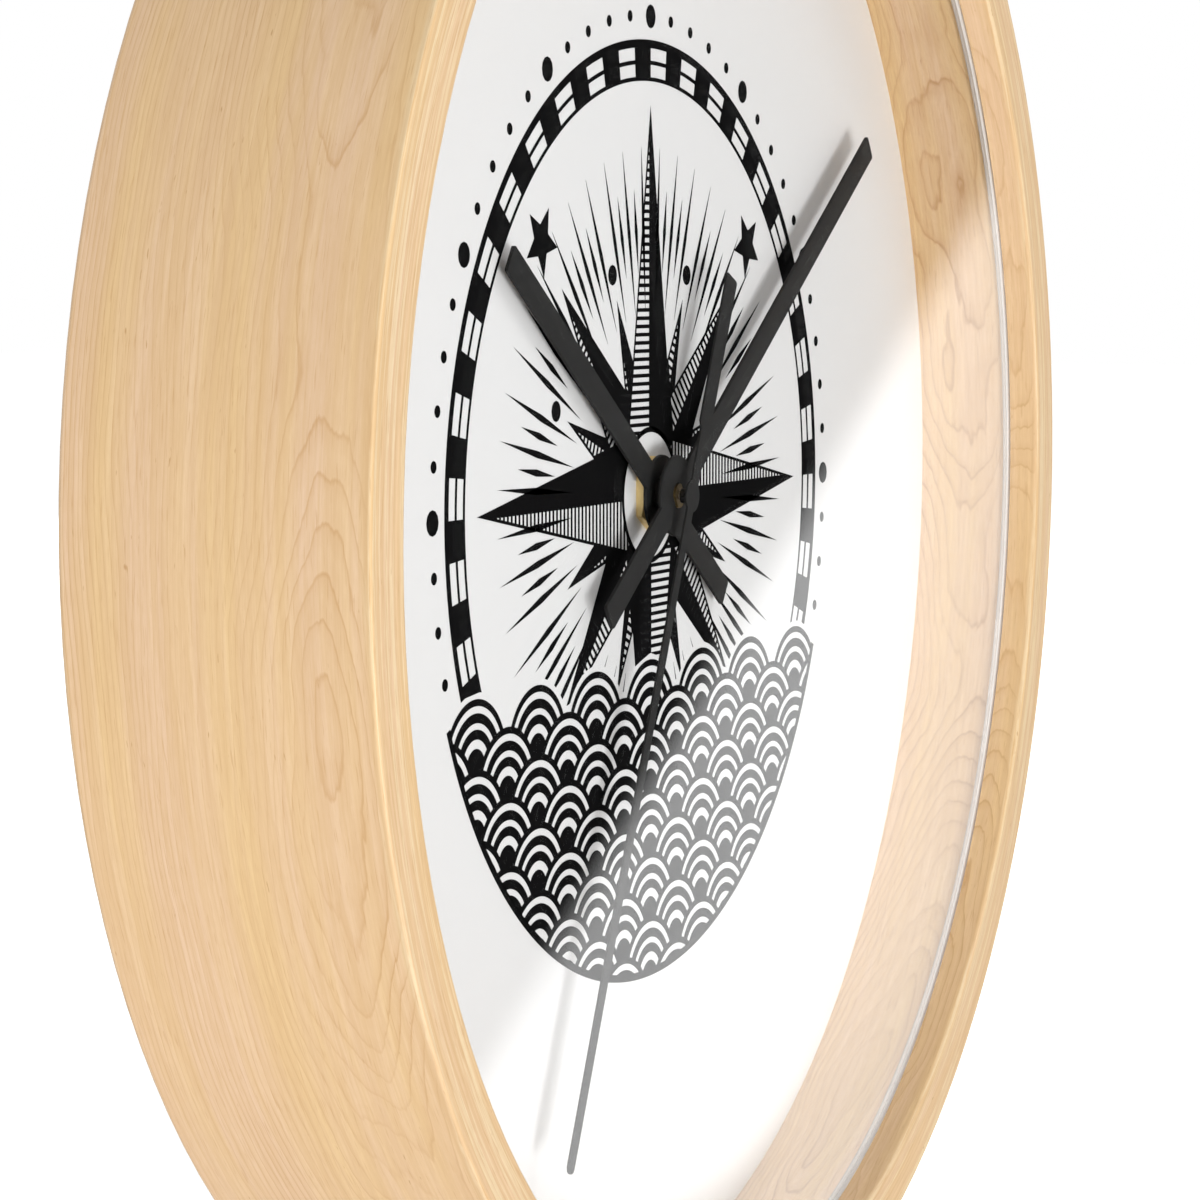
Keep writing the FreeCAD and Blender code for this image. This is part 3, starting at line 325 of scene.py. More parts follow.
# %% [markdown]
# ## Maple
# The ring is a strip of maple bent round and joined at the bottom. Its grain
# follows the bend, so the pattern can't be laid on in plain x, y and z: we
# count along the ring, across its width and into its thickness. Growth rings
# are cut at a slant and show as nested arches near the front edge. Over them
# lie fine streaks, small pores and dark flecks, under a satin lacquer. On the
# front rim the layers are cut square, so it shows straight tan and cream lines.

# %% Ways to count along a piece of wood
middle_radius, inner_radius = 0.1227, 0.1184  # of the hoop


def along_the_ring(tree):
    """The way round the hoop, across its width and into its thickness."""
    xyz = add(tree, "SeparateXYZ", {0: place_of(tree)}).outputs
    turn = calc(tree, "ARCTAN2", xyz[0], xyz[2])
    into = minus(tree, distance(tree, xyz[0], xyz[2]), inner_radius)
    return times(tree, turn, middle_radius), xyz[1], into


def along_the_block(tree):
    """The block's grain lies level, so x runs along it."""
    xyz = add(tree, "SeparateXYZ", {0: place_of(tree)}).outputs
    return xyz[0], xyz[2], xyz[1]

print("once round the hoop is", round(2 * math.pi * middle_radius * mm), "mm")

# %% Wood finish
clock_depth, grain_depth, rings_per_metre = 0.0425, 0.00002, 1480
pith_depth, pith_sway = 0.013, 0.030
cream_tone, fleck_shade = (0.93, 0.78, 0.52), 0.92


def wood(name, ways, pale, pink, tan, line, pith, gloss):
    """Pale and pink ground, tan and line for the marks; the arches centre on pith."""
    finish, tree = open_finish(name)
    along, across, into = ways(tree)
    grain = add(tree, "CombineXYZ", {0: along, 1: across, 2: into}).outputs[0]
    behind_rim = times(tree, plus(tree, across, clock_depth), 100)  # in centimetres

    def drift(sizes, detail=2, rough=0.5):
        return cloud(tree, stretched(tree, grain, sizes), 1, detail, rough)

    def marks(sizes, detail, rough, start, full, strength):
        """Patches that begin where the drift passes start and reach strength at full."""
        return steps(tree, drift(sizes, detail, rough), (start, 0.0), (full, strength))

    def by_rim(on_it, behind_it, reach=0.2):
        """One strength on the front rim, another from reach centimetres behind it."""
        return steps(tree, behind_rim, (0.03, on_it), (reach, behind_it))

    # Growth rings: distance from a pith that wanders in depth along the strip.
    sway = times(tree, minus(tree, drift((6, 16, 16), 3), 0.5), pith_sway)
    lean = plus(tree, plus(tree, into, pith_depth), sway)
    ring = distance(tree, minus(tree, across, pith), lean)
    years = plus(tree, times(tree, ring, rings_per_metre), times(tree, drift((70, 420, 420), 3, 0.6), 0.8))
    late = steps(tree, calc(tree, "FRACT", years), (0.0, 0.05), (0.5, 0.0), (0.83, 0.3), (0.93, 1.0), (1.0, 0.05))
    each_year = add(tree, "TexWhiteNoise", {"W": calc(tree, "FLOOR", years)}, noise_dimensions="1D").outputs[0]
    fade = times(tree, steps(tree, drift((14, 90, 90)), (0.34, 0.16), (0.66, 0.78)), by_rim(0.12, 1.0))

    # From the ground up: broad bands, years, layers, streaks, arches, figure, pores and flecks.
    body = tint(tree, marks((6, 150, 150), 3, 0.6, 0.36, 0.62, 1.0), pale, pink)
    body = tint(tree, times(tree, each_year, 0.30), body, tan)
    layers = times(tree, marks((26, 800, 1500), 4, 0.7, 0.38, 0.62, 0.85), by_rim(1.0, 0.55))
    body = tint(tree, layers, body, tan)
    cream = times(tree, marks((20, 500, 1300), 3, 0.7, 0.5, 0.58, 0.6), by_rim(1.0, 0.0, reach=0.14))
    body = tint(tree, cream, body, cream_tone)
    streaks = marks((75, 2600, 2600), 3, 0.7, 0.38, 0.66, 0.34)
    body = tint(tree, streaks, body, tan)
    body = tint(tree, times(tree, late, fade), body, line)
    figure = marks((500, 1500, 1500), 3, 0.75, 0.35, 0.7, 0.22)
    body = tint(tree, figure, body, tan)
    pores = marks((210, 4200, 4200), 1, 0.5, 0.62, 0.72, 0.35)
    body = tint(tree, pores, body, line)
    some_places = marks((30, 70, 70), 1, 0.5, 0.5, 0.56, 1.0)
    flecks = times(tree, marks((300, 1500, 1500), 2, 0.7, 0.69, 0.76, 0.8), some_places)
    body = tint(tree, flecks, body, [c * fleck_shade for c in line])

    rough = plus(tree, times(tree, streaks, 0.10), gloss)
    hollows = plus(tree, times(tree, streaks, -0.5), times(tree, pores, -1.0))
    close_solid(tree, {"Base Color": body, "Roughness": rough, "Specular IOR Level": 0.25,
                       "Normal": relief(tree, hollows, grain_depth)})
    return finish

print("wood has", round(mm / rings_per_metre, 2), "mm from one year to the next")

# %% [markdown]
# ## Three woods from one recipe
# The hoop and the spacer inside it are maple, but cut from different strips:
# the spacer sits behind the pane, where its marks must be stronger to show.
# The hanger block on the back is plain unlacquered pine.

# %% Maple and pine
maple_pale, maple_pink = (0.865, 0.625, 0.335), (0.85, 0.615, 0.425)
maple = wood("maple_lacquered", along_the_ring, maple_pale, maple_pink,
             tan=(0.70, 0.46, 0.235), line=(0.58, 0.33, 0.14), pith=-0.0355, gloss=0.3)
spacer_maple = wood("maple_spacer", along_the_ring, maple_pale, maple_pink,
                    tan=(0.68, 0.44, 0.22), line=(0.46, 0.23, 0.08), pith=-0.0285, gloss=0.35)
block_wood = wood("pine_block_raw", along_the_block, (0.74, 0.52, 0.29), (0.72, 0.49, 0.28),
                  tan=(0.62, 0.40, 0.20), line=(0.42, 0.23, 0.10), pith=0.07, gloss=0.62)
print("wood finishes:", maple.name, spacer_maple.name, block_wood.name)

# %% [markdown]
# ## The clear pane
# The pane is clear acrylic. Real glass in Blender throws a dark shadow unless
# it is told not to, so the lamps and the soft room light pass straight through
# a clear shader, and only what the camera sees bends and mirrors. The index is
# below the 1.49 of bare acrylic, because an anti-glare pane mirrors less.

# %% Clear pane finish
clear_pane, tree = open_finish("clear_acrylic")
ray = add(tree, "LightPath").outputs
for_light = calc(tree, "MAXIMUM", ray["Is Shadow Ray"], ray["Is Diffuse Ray"])
haze = tint(tree, cloud(tree, place_of(tree), 60, 3), (0.985, 0.992, 0.988), (0.995, 0.997, 0.996))
pane = add(tree, "BsdfPrincipled", {"Base Color": haze, "Roughness": 0.0, "IOR": 1.3, "Transmission Weight": 1.0})
open_air = add(tree, "BsdfTransparent")
close_finish(tree, add(tree, "MixShader", {0: for_light, 1: pane.outputs[0], 2: open_air.outputs[0]}).outputs[0])
print("pane lets lamps through")

# %% [markdown]
# ## Paper, ink and board
# The dial is a smooth white card with a faint tooth. Ink lies on it as a thin
# black film. The back board is hardboard: brown, pressed from short fibres.

# %% Dial and ink finishes
tooth_size, tooth_depth = 1900, 0.000008


def smooth_card(name, dark, light, **sockets):
    finish, tree = open_finish(name)
    tooth = cloud(tree, place_of(tree), tooth_size, 2)
    close_solid(tree, {"Base Color": tint(tree, tooth, dark, light), "Normal": relief(tree, tooth, tooth_depth),
                       **sockets})
    return finish

dial_white = smooth_card("dial_card", (0.865, 0.865, 0.87), (0.89, 0.89, 0.89), Roughness=0.62)
dial_ink = smooth_card("dial_ink", (0.006, 0.006, 0.0065), (0.009, 0.009, 0.009),
                       **{"Roughness": 0.8, "Specular IOR Level": 0.0})
print("card and ink have the same tooth,", round(mm / tooth_size, 2), "mm apart")

# %% Board finish
fibre_length, fibre_width = 700, 2600  # fibres per metre, along and across them
hardboard, tree = open_finish("hardboard")
place = place_of(tree)
fibres = cloud(tree, stretched(tree, place, (fibre_length, fibre_length, fibre_width)), 1, 4, 0.65)
chips = cloud(tree, stretched(tree, place, (fibre_width, fibre_length, fibre_length)), 1, 4, 0.65)
mottle = cloud(tree, place, 38, 3)
body = tint(tree, steps(tree, fibres, (0.35, 0.0), (0.65, 1.0)), (0.20, 0.115, 0.058), (0.31, 0.19, 0.10))
body = tint(tree, steps(tree, chips, (0.52, 0.0), (0.75, 0.7)), body, (0.40, 0.26, 0.15))
body = tint(tree, mottle, body, (0.22, 0.13, 0.07))
close_solid(tree, {"Base Color": body, "Roughness": steps(tree, fibres, (0.3, 0.5), (0.7, 0.72)),
                   "Normal": relief(tree, fibres, 0.00005)})
print("hardboard is pressed")

# %% [markdown]
# ## Plastics and rubber
# Moulded plastic is never one flat colour: the mould leaves a fine texture, and
# the resin flows into faint lighter clouds. One recipe with other numbers makes
# the black case, the knob, the white wheels, the hands' paint and the rubber.

# %% Moulded finishes
flow_size, painted_hollow_shade = 70, 0.72


def moulded(name, dark, light, gloss, grit, depth, **sockets):
    """Two near colours, the roughness, the size of the texture and its depth."""
    finish, tree = open_finish(name)
    place = place_of(tree)
    flow = cloud(tree, place, flow_size, 3)
    grain = cloud(tree, place, grit, 2, 0.6)
    body = tint(tree, steps(tree, flow, (0.3, 0.0), (0.7, 1.0)), dark, light)
    # painted shade: the hollows of the fine texture are coloured darker than the plastic
    body = tint(tree, steps(tree, grain, (0.35, 0.25), (0.7, 0.0)), body, [c * painted_hollow_shade for c in dark])
    rough = rescale(tree, grain, 0.3, 0.7, gloss - 0.05, gloss + 0.06)
    close_solid(tree, {"Base Color": body, "Roughness": rough, "Normal": relief(tree, grain, depth), **sockets})
    return finish

case_black = moulded("case_plastic_black", (0.016, 0.016, 0.018), (0.023, 0.023, 0.025), 0.46, 2600, 0.00003)
knob_grey = moulded("knob_plastic_grey", (0.045, 0.046, 0.05), (0.06, 0.061, 0.064), 0.36, 3200, 0.00001)
wheel_white = moulded("wheel_plastic_white", (0.72, 0.71, 0.67), (0.80, 0.79, 0.755), 0.34, 3000, 0.000006)
hand_paint = moulded("hand_paint_black", (0.024, 0.024, 0.024), (0.028, 0.028, 0.028), 0.5, 4200, 0.00001,
                     **{"Specular IOR Level": 0.06})
hub_paint = moulded("hub_paint_satin", (0.016, 0.016, 0.016), (0.020, 0.020, 0.020), 0.3, 4200, 0.00001)
rubber = moulded("washer_rubber_black", (0.012, 0.012, 0.012), (0.022, 0.021, 0.02), 0.82, 1500, 0.00005)
resin = moulded("chip_resin_black", (0.008, 0.008, 0.009), (0.013, 0.013, 0.014), 0.2, 500, 0.00002)
print("moulded finishes are made")

# %% [markdown]
# ## Metals
# The metals differ in how they were worked. Turned brass has fine circles about
# its axis, plated steel a patchy bluish bloom, spring strip long brushed lines,
# and motor iron is a stack of thin sheets whose edges show as layers.

# %% Metal finishes
bloom_size, painted_groove_shade, turning_units = 240, 0.6, 0.0005


def worked_metal(name, dark, light, gloss, stretch, depth, metal=1.0, turned=False):
    """stretch sets the marks: many per metre across the lines, few along them.
    A turned metal has them in circles about the axis of the hands."""
    finish, tree = open_finish(name)
    place = place_of(tree)
    if turned:
        xyz = add(tree, "SeparateXYZ", {0: place}).outputs
        way_round = times(tree, calc(tree, "ARCTAN2", xyz[0], xyz[2]), turning_units)
        place = add(tree, "CombineXYZ", {0: distance(tree, xyz[0], xyz[2]), 1: xyz[1], 2: way_round}).outputs[0]
    lines = cloud(tree, stretched(tree, place, stretch), 1, 3, 0.6)
    bloom = cloud(tree, place_of(tree), bloom_size, 3)
    body = tint(tree, steps(tree, bloom, (0.35, 0.0), (0.65, 1.0)), dark, light)
    # painted shade: the grooves between the worked lines are coloured darker than the metal
    body = tint(tree, steps(tree, lines, (0.3, 0.3), (0.6, 0.0)), body, [c * painted_groove_shade for c in dark])
    rough = rescale(tree, lines, 0.3, 0.7, gloss - 0.06, gloss + 0.1)
    close_solid(tree, {"Base Color": body, "Roughness": rough, "Metallic": metal,
                       "Normal": relief(tree, lines, depth)})
    return finish

fine_circles = (3500, 3500, 30)
brass = worked_metal("brass_turned", (0.80, 0.60, 0.26), (0.90, 0.70, 0.33), 0.34, fine_circles, 0.000006,
                     metal=0.5, turned=True)
pipe_brass = worked_metal("brass_tarnished", (0.16, 0.11, 0.045), (0.25, 0.175, 0.07), 0.42, fine_circles, 0.000006,
                          turned=True)
zinc = worked_metal("steel_zinc_plated", (0.50, 0.52, 0.53), (0.63, 0.64, 0.64), 0.34, (500, 500, 500), 0.000008)
spring = worked_metal("steel_spring_brushed", (0.52, 0.52, 0.50), (0.64, 0.63, 0.61), 0.28, (60, 4000, 4000), 0.000004)
iron = worked_metal("iron_stacked_sheets", (0.33, 0.33, 0.34), (0.42, 0.42, 0.42), 0.4, (60, 6000, 60), 0.00001)
ferrite = worked_metal("magnet_ferrite", (0.045, 0.045, 0.05), (0.075, 0.075, 0.08), 0.5, (1800, 1800, 1800), 0.00001,
                       metal=0.35)
can = worked_metal("crystal_can_nickel", (0.66, 0.66, 0.65), (0.74, 0.74, 0.73), 0.18, (50, 2500, 2500), 0.000002)
copper = worked_metal("copper_enamelled", (0.62, 0.22, 0.08), (0.76, 0.31, 0.13), 0.26, (7000, 200, 200), 0.00003)
print("metal finishes are made")

# %% [markdown]
# ## Circuit board and cell
# The board is green lacquer over copper tracks, which show as lighter lines
# under it. The cell wears a plain dark sleeve. A wide silver band and a thin
# ring mark one end of it, told apart by their place along the cell.

# %% Circuit board finish
pure_black = (0, 0, 0, 1)
board_green, tree = open_finish("circuit_lacquer_green")
place = place_of(tree)
tracks = add(tree, "TexBrick", {"Vector": stretched(tree, place, (420, 1, 420)), "Scale": 1.0, "Mortar Size": 0.09,
                                "Color1": pure_black, "Color2": pure_black, "Mortar": pure_white,
                                "Brick Width": 1.7, "Row Height": 0.8}).outputs[0]
weave = cloud(tree, place, 2400, 2)
body = tint(tree, tracks, (0.012, 0.115, 0.045), (0.035, 0.24, 0.09))
body = tint(tree, steps(tree, weave, (0.4, 0.25), (0.7, 0.0)), body, (0.008, 0.07, 0.03))
close_solid(tree, {"Base Color": body, "Roughness": steps(tree, weave, (0.3, 0.28), (0.7, 0.42)),
                   "Normal": relief(tree, tracks, 0.00003)})
print("board is lacquered over its tracks")

# %% Cell finish
cell_low, cell_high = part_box("battery_cell")
sleeve_dark, sleeve_silver, sleeve_worn = (0.022, 0.055, 0.085), (0.52, 0.53, 0.54), (0.12, 0.14, 0.16)
cell_sleeve, tree = open_finish("cell_sleeve")
xyz = add(tree, "SeparateXYZ", {0: place_of(tree)}).outputs
share = calc(tree, "DIVIDE", minus(tree, xyz[0], cell_low.x), cell_high.x - cell_low.x)
scuffs = cloud(tree, stretched(tree, place_of(tree), (160, 900, 900)), 1, 3)
silver = steps(tree, share, (0.0, 1.0), (0.30, 1.0), (0.302, 0.0), (0.315, 0.0),
               (0.317, 1.0), (0.327, 1.0), (0.329, 0.0), (1.0, 0.0))
body = tint(tree, silver, sleeve_dark, sleeve_silver)
body = tint(tree, steps(tree, scuffs, (0.55, 0.0), (0.8, 0.35)), body, sleeve_worn)
close_solid(tree, {"Base Color": body, "Roughness": steps(tree, scuffs, (0.3, 0.22), (0.7, 0.38)), "Metallic": 0.35,
                   "Coat Weight": 0.4, "Coat Roughness": 0.1, "Normal": relief(tree, scuffs, 0.000006)})
print("cell runs from", round(cell_low.x * mm, 1), "to", round(cell_high.x * mm, 1), "mm")

# %% [markdown]
# ## Dressing the solids
# Each solid keeps its shape and gets the finish of what it is made of. Writing
# the list by finish makes it easy to see that nothing was left bare.

# %% Give every solid its finish
dressing = {
    maple: ["wooden_frame"],
    spacer_maple: ["spacer_hoop"],
    block_wood: ["hanger_block"],
    clear_pane: ["glass_pane"],
    dial_white: ["dial_sheet"],
    hardboard: ["back_board"],
    zinc: ["frame_points", "hanger_plate", "hanger_screws"],
    case_black: ["movement_case", "movement_cover"],
    rubber: ["rubber_washer"],
    brass: ["threaded_bush", "fixing_nut"],
    pipe_brass: ["minute_pipe"],
    wheel_white: ["middle_plate", "train_bridge", "hour_wheel", "motion_wheel", "centre_wheel", "third_wheel",
                  "second_wheel", "intermediate_wheel", "rotor_pinion", "coil_bobbin"],
    knob_grey: ["setting_knob"],
    hand_paint: ["hour_hand", "minute_hand", "second_hand"],
    hub_paint: ["hour_collet", "minute_collet", "second_tube"],
    spring: ["friction_spring", "second_arbor", "positive_contact", "negative_contact"],
    iron: ["stator", "coil_core"],
    ferrite: ["rotor_magnet"],
    copper: ["coil_winding"],
    board_green: ["circuit_board"],
    resin: ["driver_chip"],
    can: ["quartz_crystal"],
    cell_sleeve: ["battery_cell"],
}
for finish, names in dressing.items():
    for name in names:
        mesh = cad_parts[name].data
        mesh.materials.clear()
        mesh.materials.append(finish)
bare = set(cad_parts) - {name for names in dressing.values() for name in names}
print("solids without a finish:", sorted(bare))

# %% [markdown]
# ## The printed dial: how shapes are cut
# The print is a mesh of flat outlines, so its edges stay crisp at any size. Two
# tools draw all of it: one cuts an outline where a rule says so, and one bends
# a band of short pieces round a centre. Everything is written in millimetres.

# %% Tools for the print
ink_outlines = []


def cut(corners, rule):
    """What is left of an outline where rule(corner) is above zero."""
    kept = []
    for here, there in zip(corners, corners[1:] + corners[:1]):
        a, b = rule(here), rule(there)
        if a > 0:
            kept.append(here)
        if (a > 0) != (b > 0):
            share = a / (a - b)
            kept.append((here[0] + (there[0] - here[0]) * share, here[1] + (there[1] - here[1]) * share))
    return kept


def at(radius, degrees, middle=(0, 0)):
    """The point at a radius and a clockwise angle from the top."""
    angle = math.radians(degrees)
    return (middle[0] + radius * math.sin(angle), middle[1] + radius * math.cos(angle))


def band(inner, outer, start, stop, pieces, middle=(0, 0)):
    for k in range(pieces):
        a, b = (start + (stop - start) * (k + j) / pieces for j in (0, 1))
        yield [at(inner, a, middle), at(outer, a, middle), at(outer, b, middle), at(inner, b, middle)]


def stamp(corners, *rules):
    """Keeps an outline for the print, cut by each rule in turn."""
    for rule in rules:
        corners = cut(corners, rule) if len(corners) > 2 else []
    if len(corners) > 2:
        ink_outlines.append(corners)


def dot(middle, size):
    stamp([at(size, 30 * j, middle) for j in range(12)])

print("print tools are ready")

# %% [markdown]
# ## The print: a sea of wave scales
# The lower third is the old wave pattern of overlapping scales. Each scale is
# a set of rings, hidden where the scales in front of it overlap.

# %% Wave scales
scale_size, scale_turn, scale_pieces = 9.6, 100, 32
scale_rings = ((0.90, 1.0), (0.66, 0.80), (0.43, 0.57), (0.0, 0.30))  # each from and to, in scale sizes
sea_edge, sea_level, sky_gap = 71.0, -34, 0.9
scales = {(row, column): ((column + (row % 2) / 2) * 2 * scale_size, sea_level - row * scale_size / 2)
          for row in range(10) for column in range(-5, 6)}


def outside(middle, radius):
    return lambda p: math.hypot(p[0] - middle[0], p[1] - middle[1]) - radius


def inside(radius):
    return lambda p: radius - math.hypot(*p)

for (row, _), middle in scales.items():
    if math.hypot(*middle) > sea_edge + scale_size:
        continue
    ahead = [outside(m, scale_size) for (r, _), m in scales.items()
             if row < r <= row + 2 and math.dist(m, middle) < 2 * scale_size - 0.1]
    for inner, outer in scale_rings:
        for piece in band(inner * scale_size, outer * scale_size, -scale_turn, scale_turn, scale_pieces, middle):
            stamp(piece, inside(sea_edge), *ahead)
top_scales = [outside(m, scale_size + sky_gap) for (r, _), m in scales.items() if r < 2]


def above_sea(p):
    return min([rule(p) for rule in top_scales] + [p[1] - sea_level])

print("wave pieces:", len(ink_outlines))

# %% [markdown]
# ## The print: how an engraver fills a point
# Each point of the star is split down its middle, one half solid and the other
# half hatched. Both are cut in thin slices, so that they follow the wave tops
# where they meet them. A hatched half has an outline, which is the space
# between its edge and the same edge moved inwards, and fine lines across it.

# %% Tools for the star
slice_height, hatch_edge, hatch_start, hatch_line, hatch_step = 0.8, 0.45, 0.7, 0.55, 1.2
boss = outside((0, 0), 10)  # bare paper round the nut


def slices(corners):
    low, high = min(z for _, z in corners), max(z for _, z in corners)
    for k in range(math.ceil((high - low) / slice_height)):
        floor_z, top_z = low + k * slice_height, low + (k + 1) * slice_height
        piece = cut(corners, lambda p: p[1] - floor_z)
        yield cut(piece, lambda p: top_z - p[1]) if len(piece) > 2 else []


def meet(a, b, c, d):
    """Where the line through a and b crosses the line through c and d."""
    run, other = (b[0] - a[0], b[1] - a[1]), (d[0] - c[0], d[1] - c[1])
    share = ((c[0] - a[0]) * other[1] - (c[1] - a[1]) * other[0]) / (run[0] * other[1] - run[1] * other[0])
    return (a[0] + run[0] * share, a[1] + run[1] * share)


def inset(corners, gap):
    """The outline moved inwards by gap on all sides."""
    area = sum(p[0] * q[1] - q[0] * p[1] for p, q in zip(corners, corners[1:] + corners[:1]))
    side = 1 if area > 0 else -1
    lines = []
    for p, q in zip(corners, corners[1:] + corners[:1]):
        length = math.hypot(q[0] - p[0], q[1] - p[1])
        nx, nz = -(q[1] - p[1]) / length * gap * side, (q[0] - p[0]) / length * gap * side
        lines.append(((p[0] + nx, p[1] + nz), (q[0] + nx, q[1] + nz)))
    return [meet(*lines[k - 1], *lines[k]) for k in range(len(lines))]


def solid_half(corners):
    for piece in slices(corners):
        stamp(piece, above_sea, boss)


def hatched_half(corners, degrees):
    """An outline with fine lines across the point's own direction."""
    inner = inset(corners, hatch_edge)
    for k in range(len(corners)):
        n = (k + 1) % len(corners)
        solid_half([corners[k], corners[n], inner[n], inner[k]])
    way = at(1, degrees)
    reach = [p[0] * way[0] + p[1] * way[1] for p in inner]
    spot = min(reach) + hatch_start
    while spot < max(reach):
        piece = cut(inner, lambda p: p[0] * way[0] + p[1] * way[1] - spot)
        piece = cut(piece, lambda p: spot + hatch_line - p[0] * way[0] - p[1] * way[1]) if len(piece) > 2 else []
        stamp(piece, above_sea, boss)
        spot += hatch_step

print("hatching has", hatch_line, "mm lines every", hatch_step, "mm")

# %% [markdown]
# ## The print: a compass star
# A star of sixteen points stands over the sea: four long ones, four between
# them, and eight short ones in the gaps. Fine rays shine out behind it.

# %% Compass star
long_tip, middle_tip, short_tip, waist = 57, 43, 31, 11.5
shoulder, foot, foot_turn = 14.5, 12, 17  # where the lower points leave the sides of the higher ones
point_turn = 22.5
for quarter in (0, 90, 180, 270):
    tip, right, left = at(long_tip, quarter), at(waist, quarter + 45), at(waist, quarter - 45)
    solid_half([tip, right, (0, 0)])
    hatched_half([tip, (0, 0), left], quarter)
    diagonal, next_tip = at(middle_tip, quarter + 45), at(long_tip, quarter + 90)
    near = meet(diagonal, at(shoulder, quarter + point_turn), tip, right)
    far = meet(diagonal, at(shoulder, quarter + 3 * point_turn), next_tip, right)
    solid_half([diagonal, far, right])
    hatched_half([diagonal, right, near], quarter + 45)
    gaps = ((point_turn, near, (tip, near), (near, diagonal)), (3 * point_turn, far, (diagonal, far), (far, next_tip)))
    for turn, root, edge_a, edge_b in gaps:
        point = at(short_tip, quarter + turn)
        before = meet(point, at(foot, quarter + turn - foot_turn), *edge_a)
        after = meet(point, at(foot, quarter + turn + foot_turn), *edge_b)
        solid_half([point, after, root])
        hatched_half([point, root, before], quarter + turn)
for piece in band(9.3, 10.1, 0, 360, 60):  # the ring that closes the star round the nut
    stamp(piece)
print("pieces with the star:", len(ink_outlines))

# %% Rays behind the star
rays, ray_swell = 96, 0.75  # the swell is half a ray's widest part, in degrees


def off_turn(degrees, spacing):
    """How far an angle lies from the nearest multiple of spacing."""
    return abs((degrees + spacing / 2) % spacing - spacing / 2)

for k in range(rays):
    degrees = k * 360 / rays
    if off_turn(degrees, point_turn) > 3 and off_turn(degrees, 2 * point_turn) < 19:
        root, end = (27, 51) if k % 2 else (33, 45)
        mid = (root + end) / 2
        lens = [at(root, degrees), at(mid, degrees + ray_swell), at(end, degrees), at(mid, degrees - ray_swell)]
        for piece in slices(lens):
            stamp(piece, above_sea)
print("pieces with the rays:", len(ink_outlines))

# %% [markdown]
# ## The print: a chart border and small sea stars
# A border like the scale of a sea chart runs round the sky and stops at the
# water, with a row of dots outside it that marks the minutes.

# %% Border and dots
inner_line, middle_line, outer_line = (60.6, 61.2), (63.0, 63.6), (65.4, 66.6)  # radii, from and to
fields, dots_radius, dots_stop = 72, 70.0, -24
for line in (inner_line, outer_line):
    for piece in band(*line, -180, 180, 240):
        stamp(piece, above_sea)
for k in range(fields):
    turn = 360 // fields
    filling = (inner_line[1], outer_line[0]) if k % 2 else middle_line
    for piece in band(*filling, k * turn, (k + 1) * turn, 3):
        stamp(piece, above_sea)
for minute in range(60):
    middle = at(dots_radius, minute * 6)
    if middle[1] > dots_stop:
        dot(middle, 1.75 if minute % 5 == 0 else 0.85)
for piece in band(sea_edge - 0.2, sea_edge + 0.9, 113, 247, 120):  # the line that closes the sea
    stamp(piece)
print("pieces with the border:", len(ink_outlines))

# %% Sea stars and drops in the sky
star_arm, star_notch = 5.2, 0.45


def sea_star(middle, twist):
    arms = [at(star_arm if k % 2 == 0 else star_arm * star_notch, twist + 36 * k, middle) for k in range(10)]
    for k in range(0, 10, 2):
        stamp([arms[k - 1], arms[k], arms[k + 1], middle])

for degrees in (-45, 45):
    sea_star(at(52.3, degrees), degrees)
for degrees in (-67.5, -22.5, 22.5, 67.5):
    dot(at(35, degrees), 1.5)
print("pieces in the whole print:", len(ink_outlines))

# %% [markdown]
# ## The print as a film of ink
# Real ink has next to no thickness, but a face that lies exactly in another
# flickers. So the outlines become faces just in front of the card, and get a
# body of three hundredths of a millimetre that reaches back towards it.

# %% Make the print one thin film
film_gap, film_thickness, weld = 0.00004, 0.00003, 2e-6


def object_from(block, name, finish):
    """Turns the faces that were built into a linked object with one finish."""
    mesh = bpy.data.meshes.new(name)
    block.to_mesh(mesh)
    block.free()
    mesh.materials.append(finish)
    made = bpy.data.objects.new(name, mesh)
    scene.collection.objects.link(made)
    return made

sheet_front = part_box("dial_sheet")[0].y
film = bmesh.new()
for corners in ink_outlines:
    unique = [p for k, p in enumerate(corners) if math.dist(p, corners[k - 1]) > 1e-4]
    if len(unique) > 2:
        film.faces.new([film.verts.new((x / mm, sheet_front - film_gap, z / mm)) for x, z in unique])
bmesh.ops.remove_doubles(film, verts=film.verts, dist=weld)
bmesh.ops.recalc_face_normals(film, faces=film.faces)
for face in film.faces:
    if face.normal.y > 0:
        face.normal_flip()
dial_print = object_from(film, "dial_print", dial_ink)
ink_body = dial_print.modifiers.new("film", "SOLIDIFY")
ink_body.thickness, ink_body.offset = film_thickness, -1
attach(dial_print, "clock_body")
print("print faces:", len(dial_print.data.polygons), "spans mm:", [round(v * mm, 1) for v in dial_print.dimensions])

# %% [markdown]
# ## The bead round the pane
# Under the lip the pane lies on a thin bead of pale foam, which shows through
# its edge as a light grey line. The solids leave it out, because it is squeezed
# almost flat, so we add it here as a low ring with a rounded face. A flat tape
# goes on from it under the lip. Its colour is paler than the bead's: painted
# light that lifts the shade the lip throws on it.

# %% A turned ring
def turned_ring(name, profile, pieces, finish, body):
    """A ring turned about the axis of the hands, from a profile of (radius, y) in mm."""
    ring = bmesh.new()
    turns = [2 * math.pi * k / pieces for k in range(pieces)]
    rows = [[ring.verts.new((r / mm * math.sin(turn), y / mm, r / mm * math.cos(turn))) for r, y in profile]
            for turn in turns]
    for k in range(pieces):
        after = (k + 1) % pieces
        for j in range(len(profile)):
            n = (j + 1) % len(profile)
            ring.faces.new([rows[k][j], rows[k][n], rows[after][n], rows[after][j]])
    bmesh.ops.recalc_face_normals(ring, faces=ring.faces)
    made = object_from(ring, name, finish)
    made.data.shade_smooth()
    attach(made, body)

print("rings are turned from a profile")

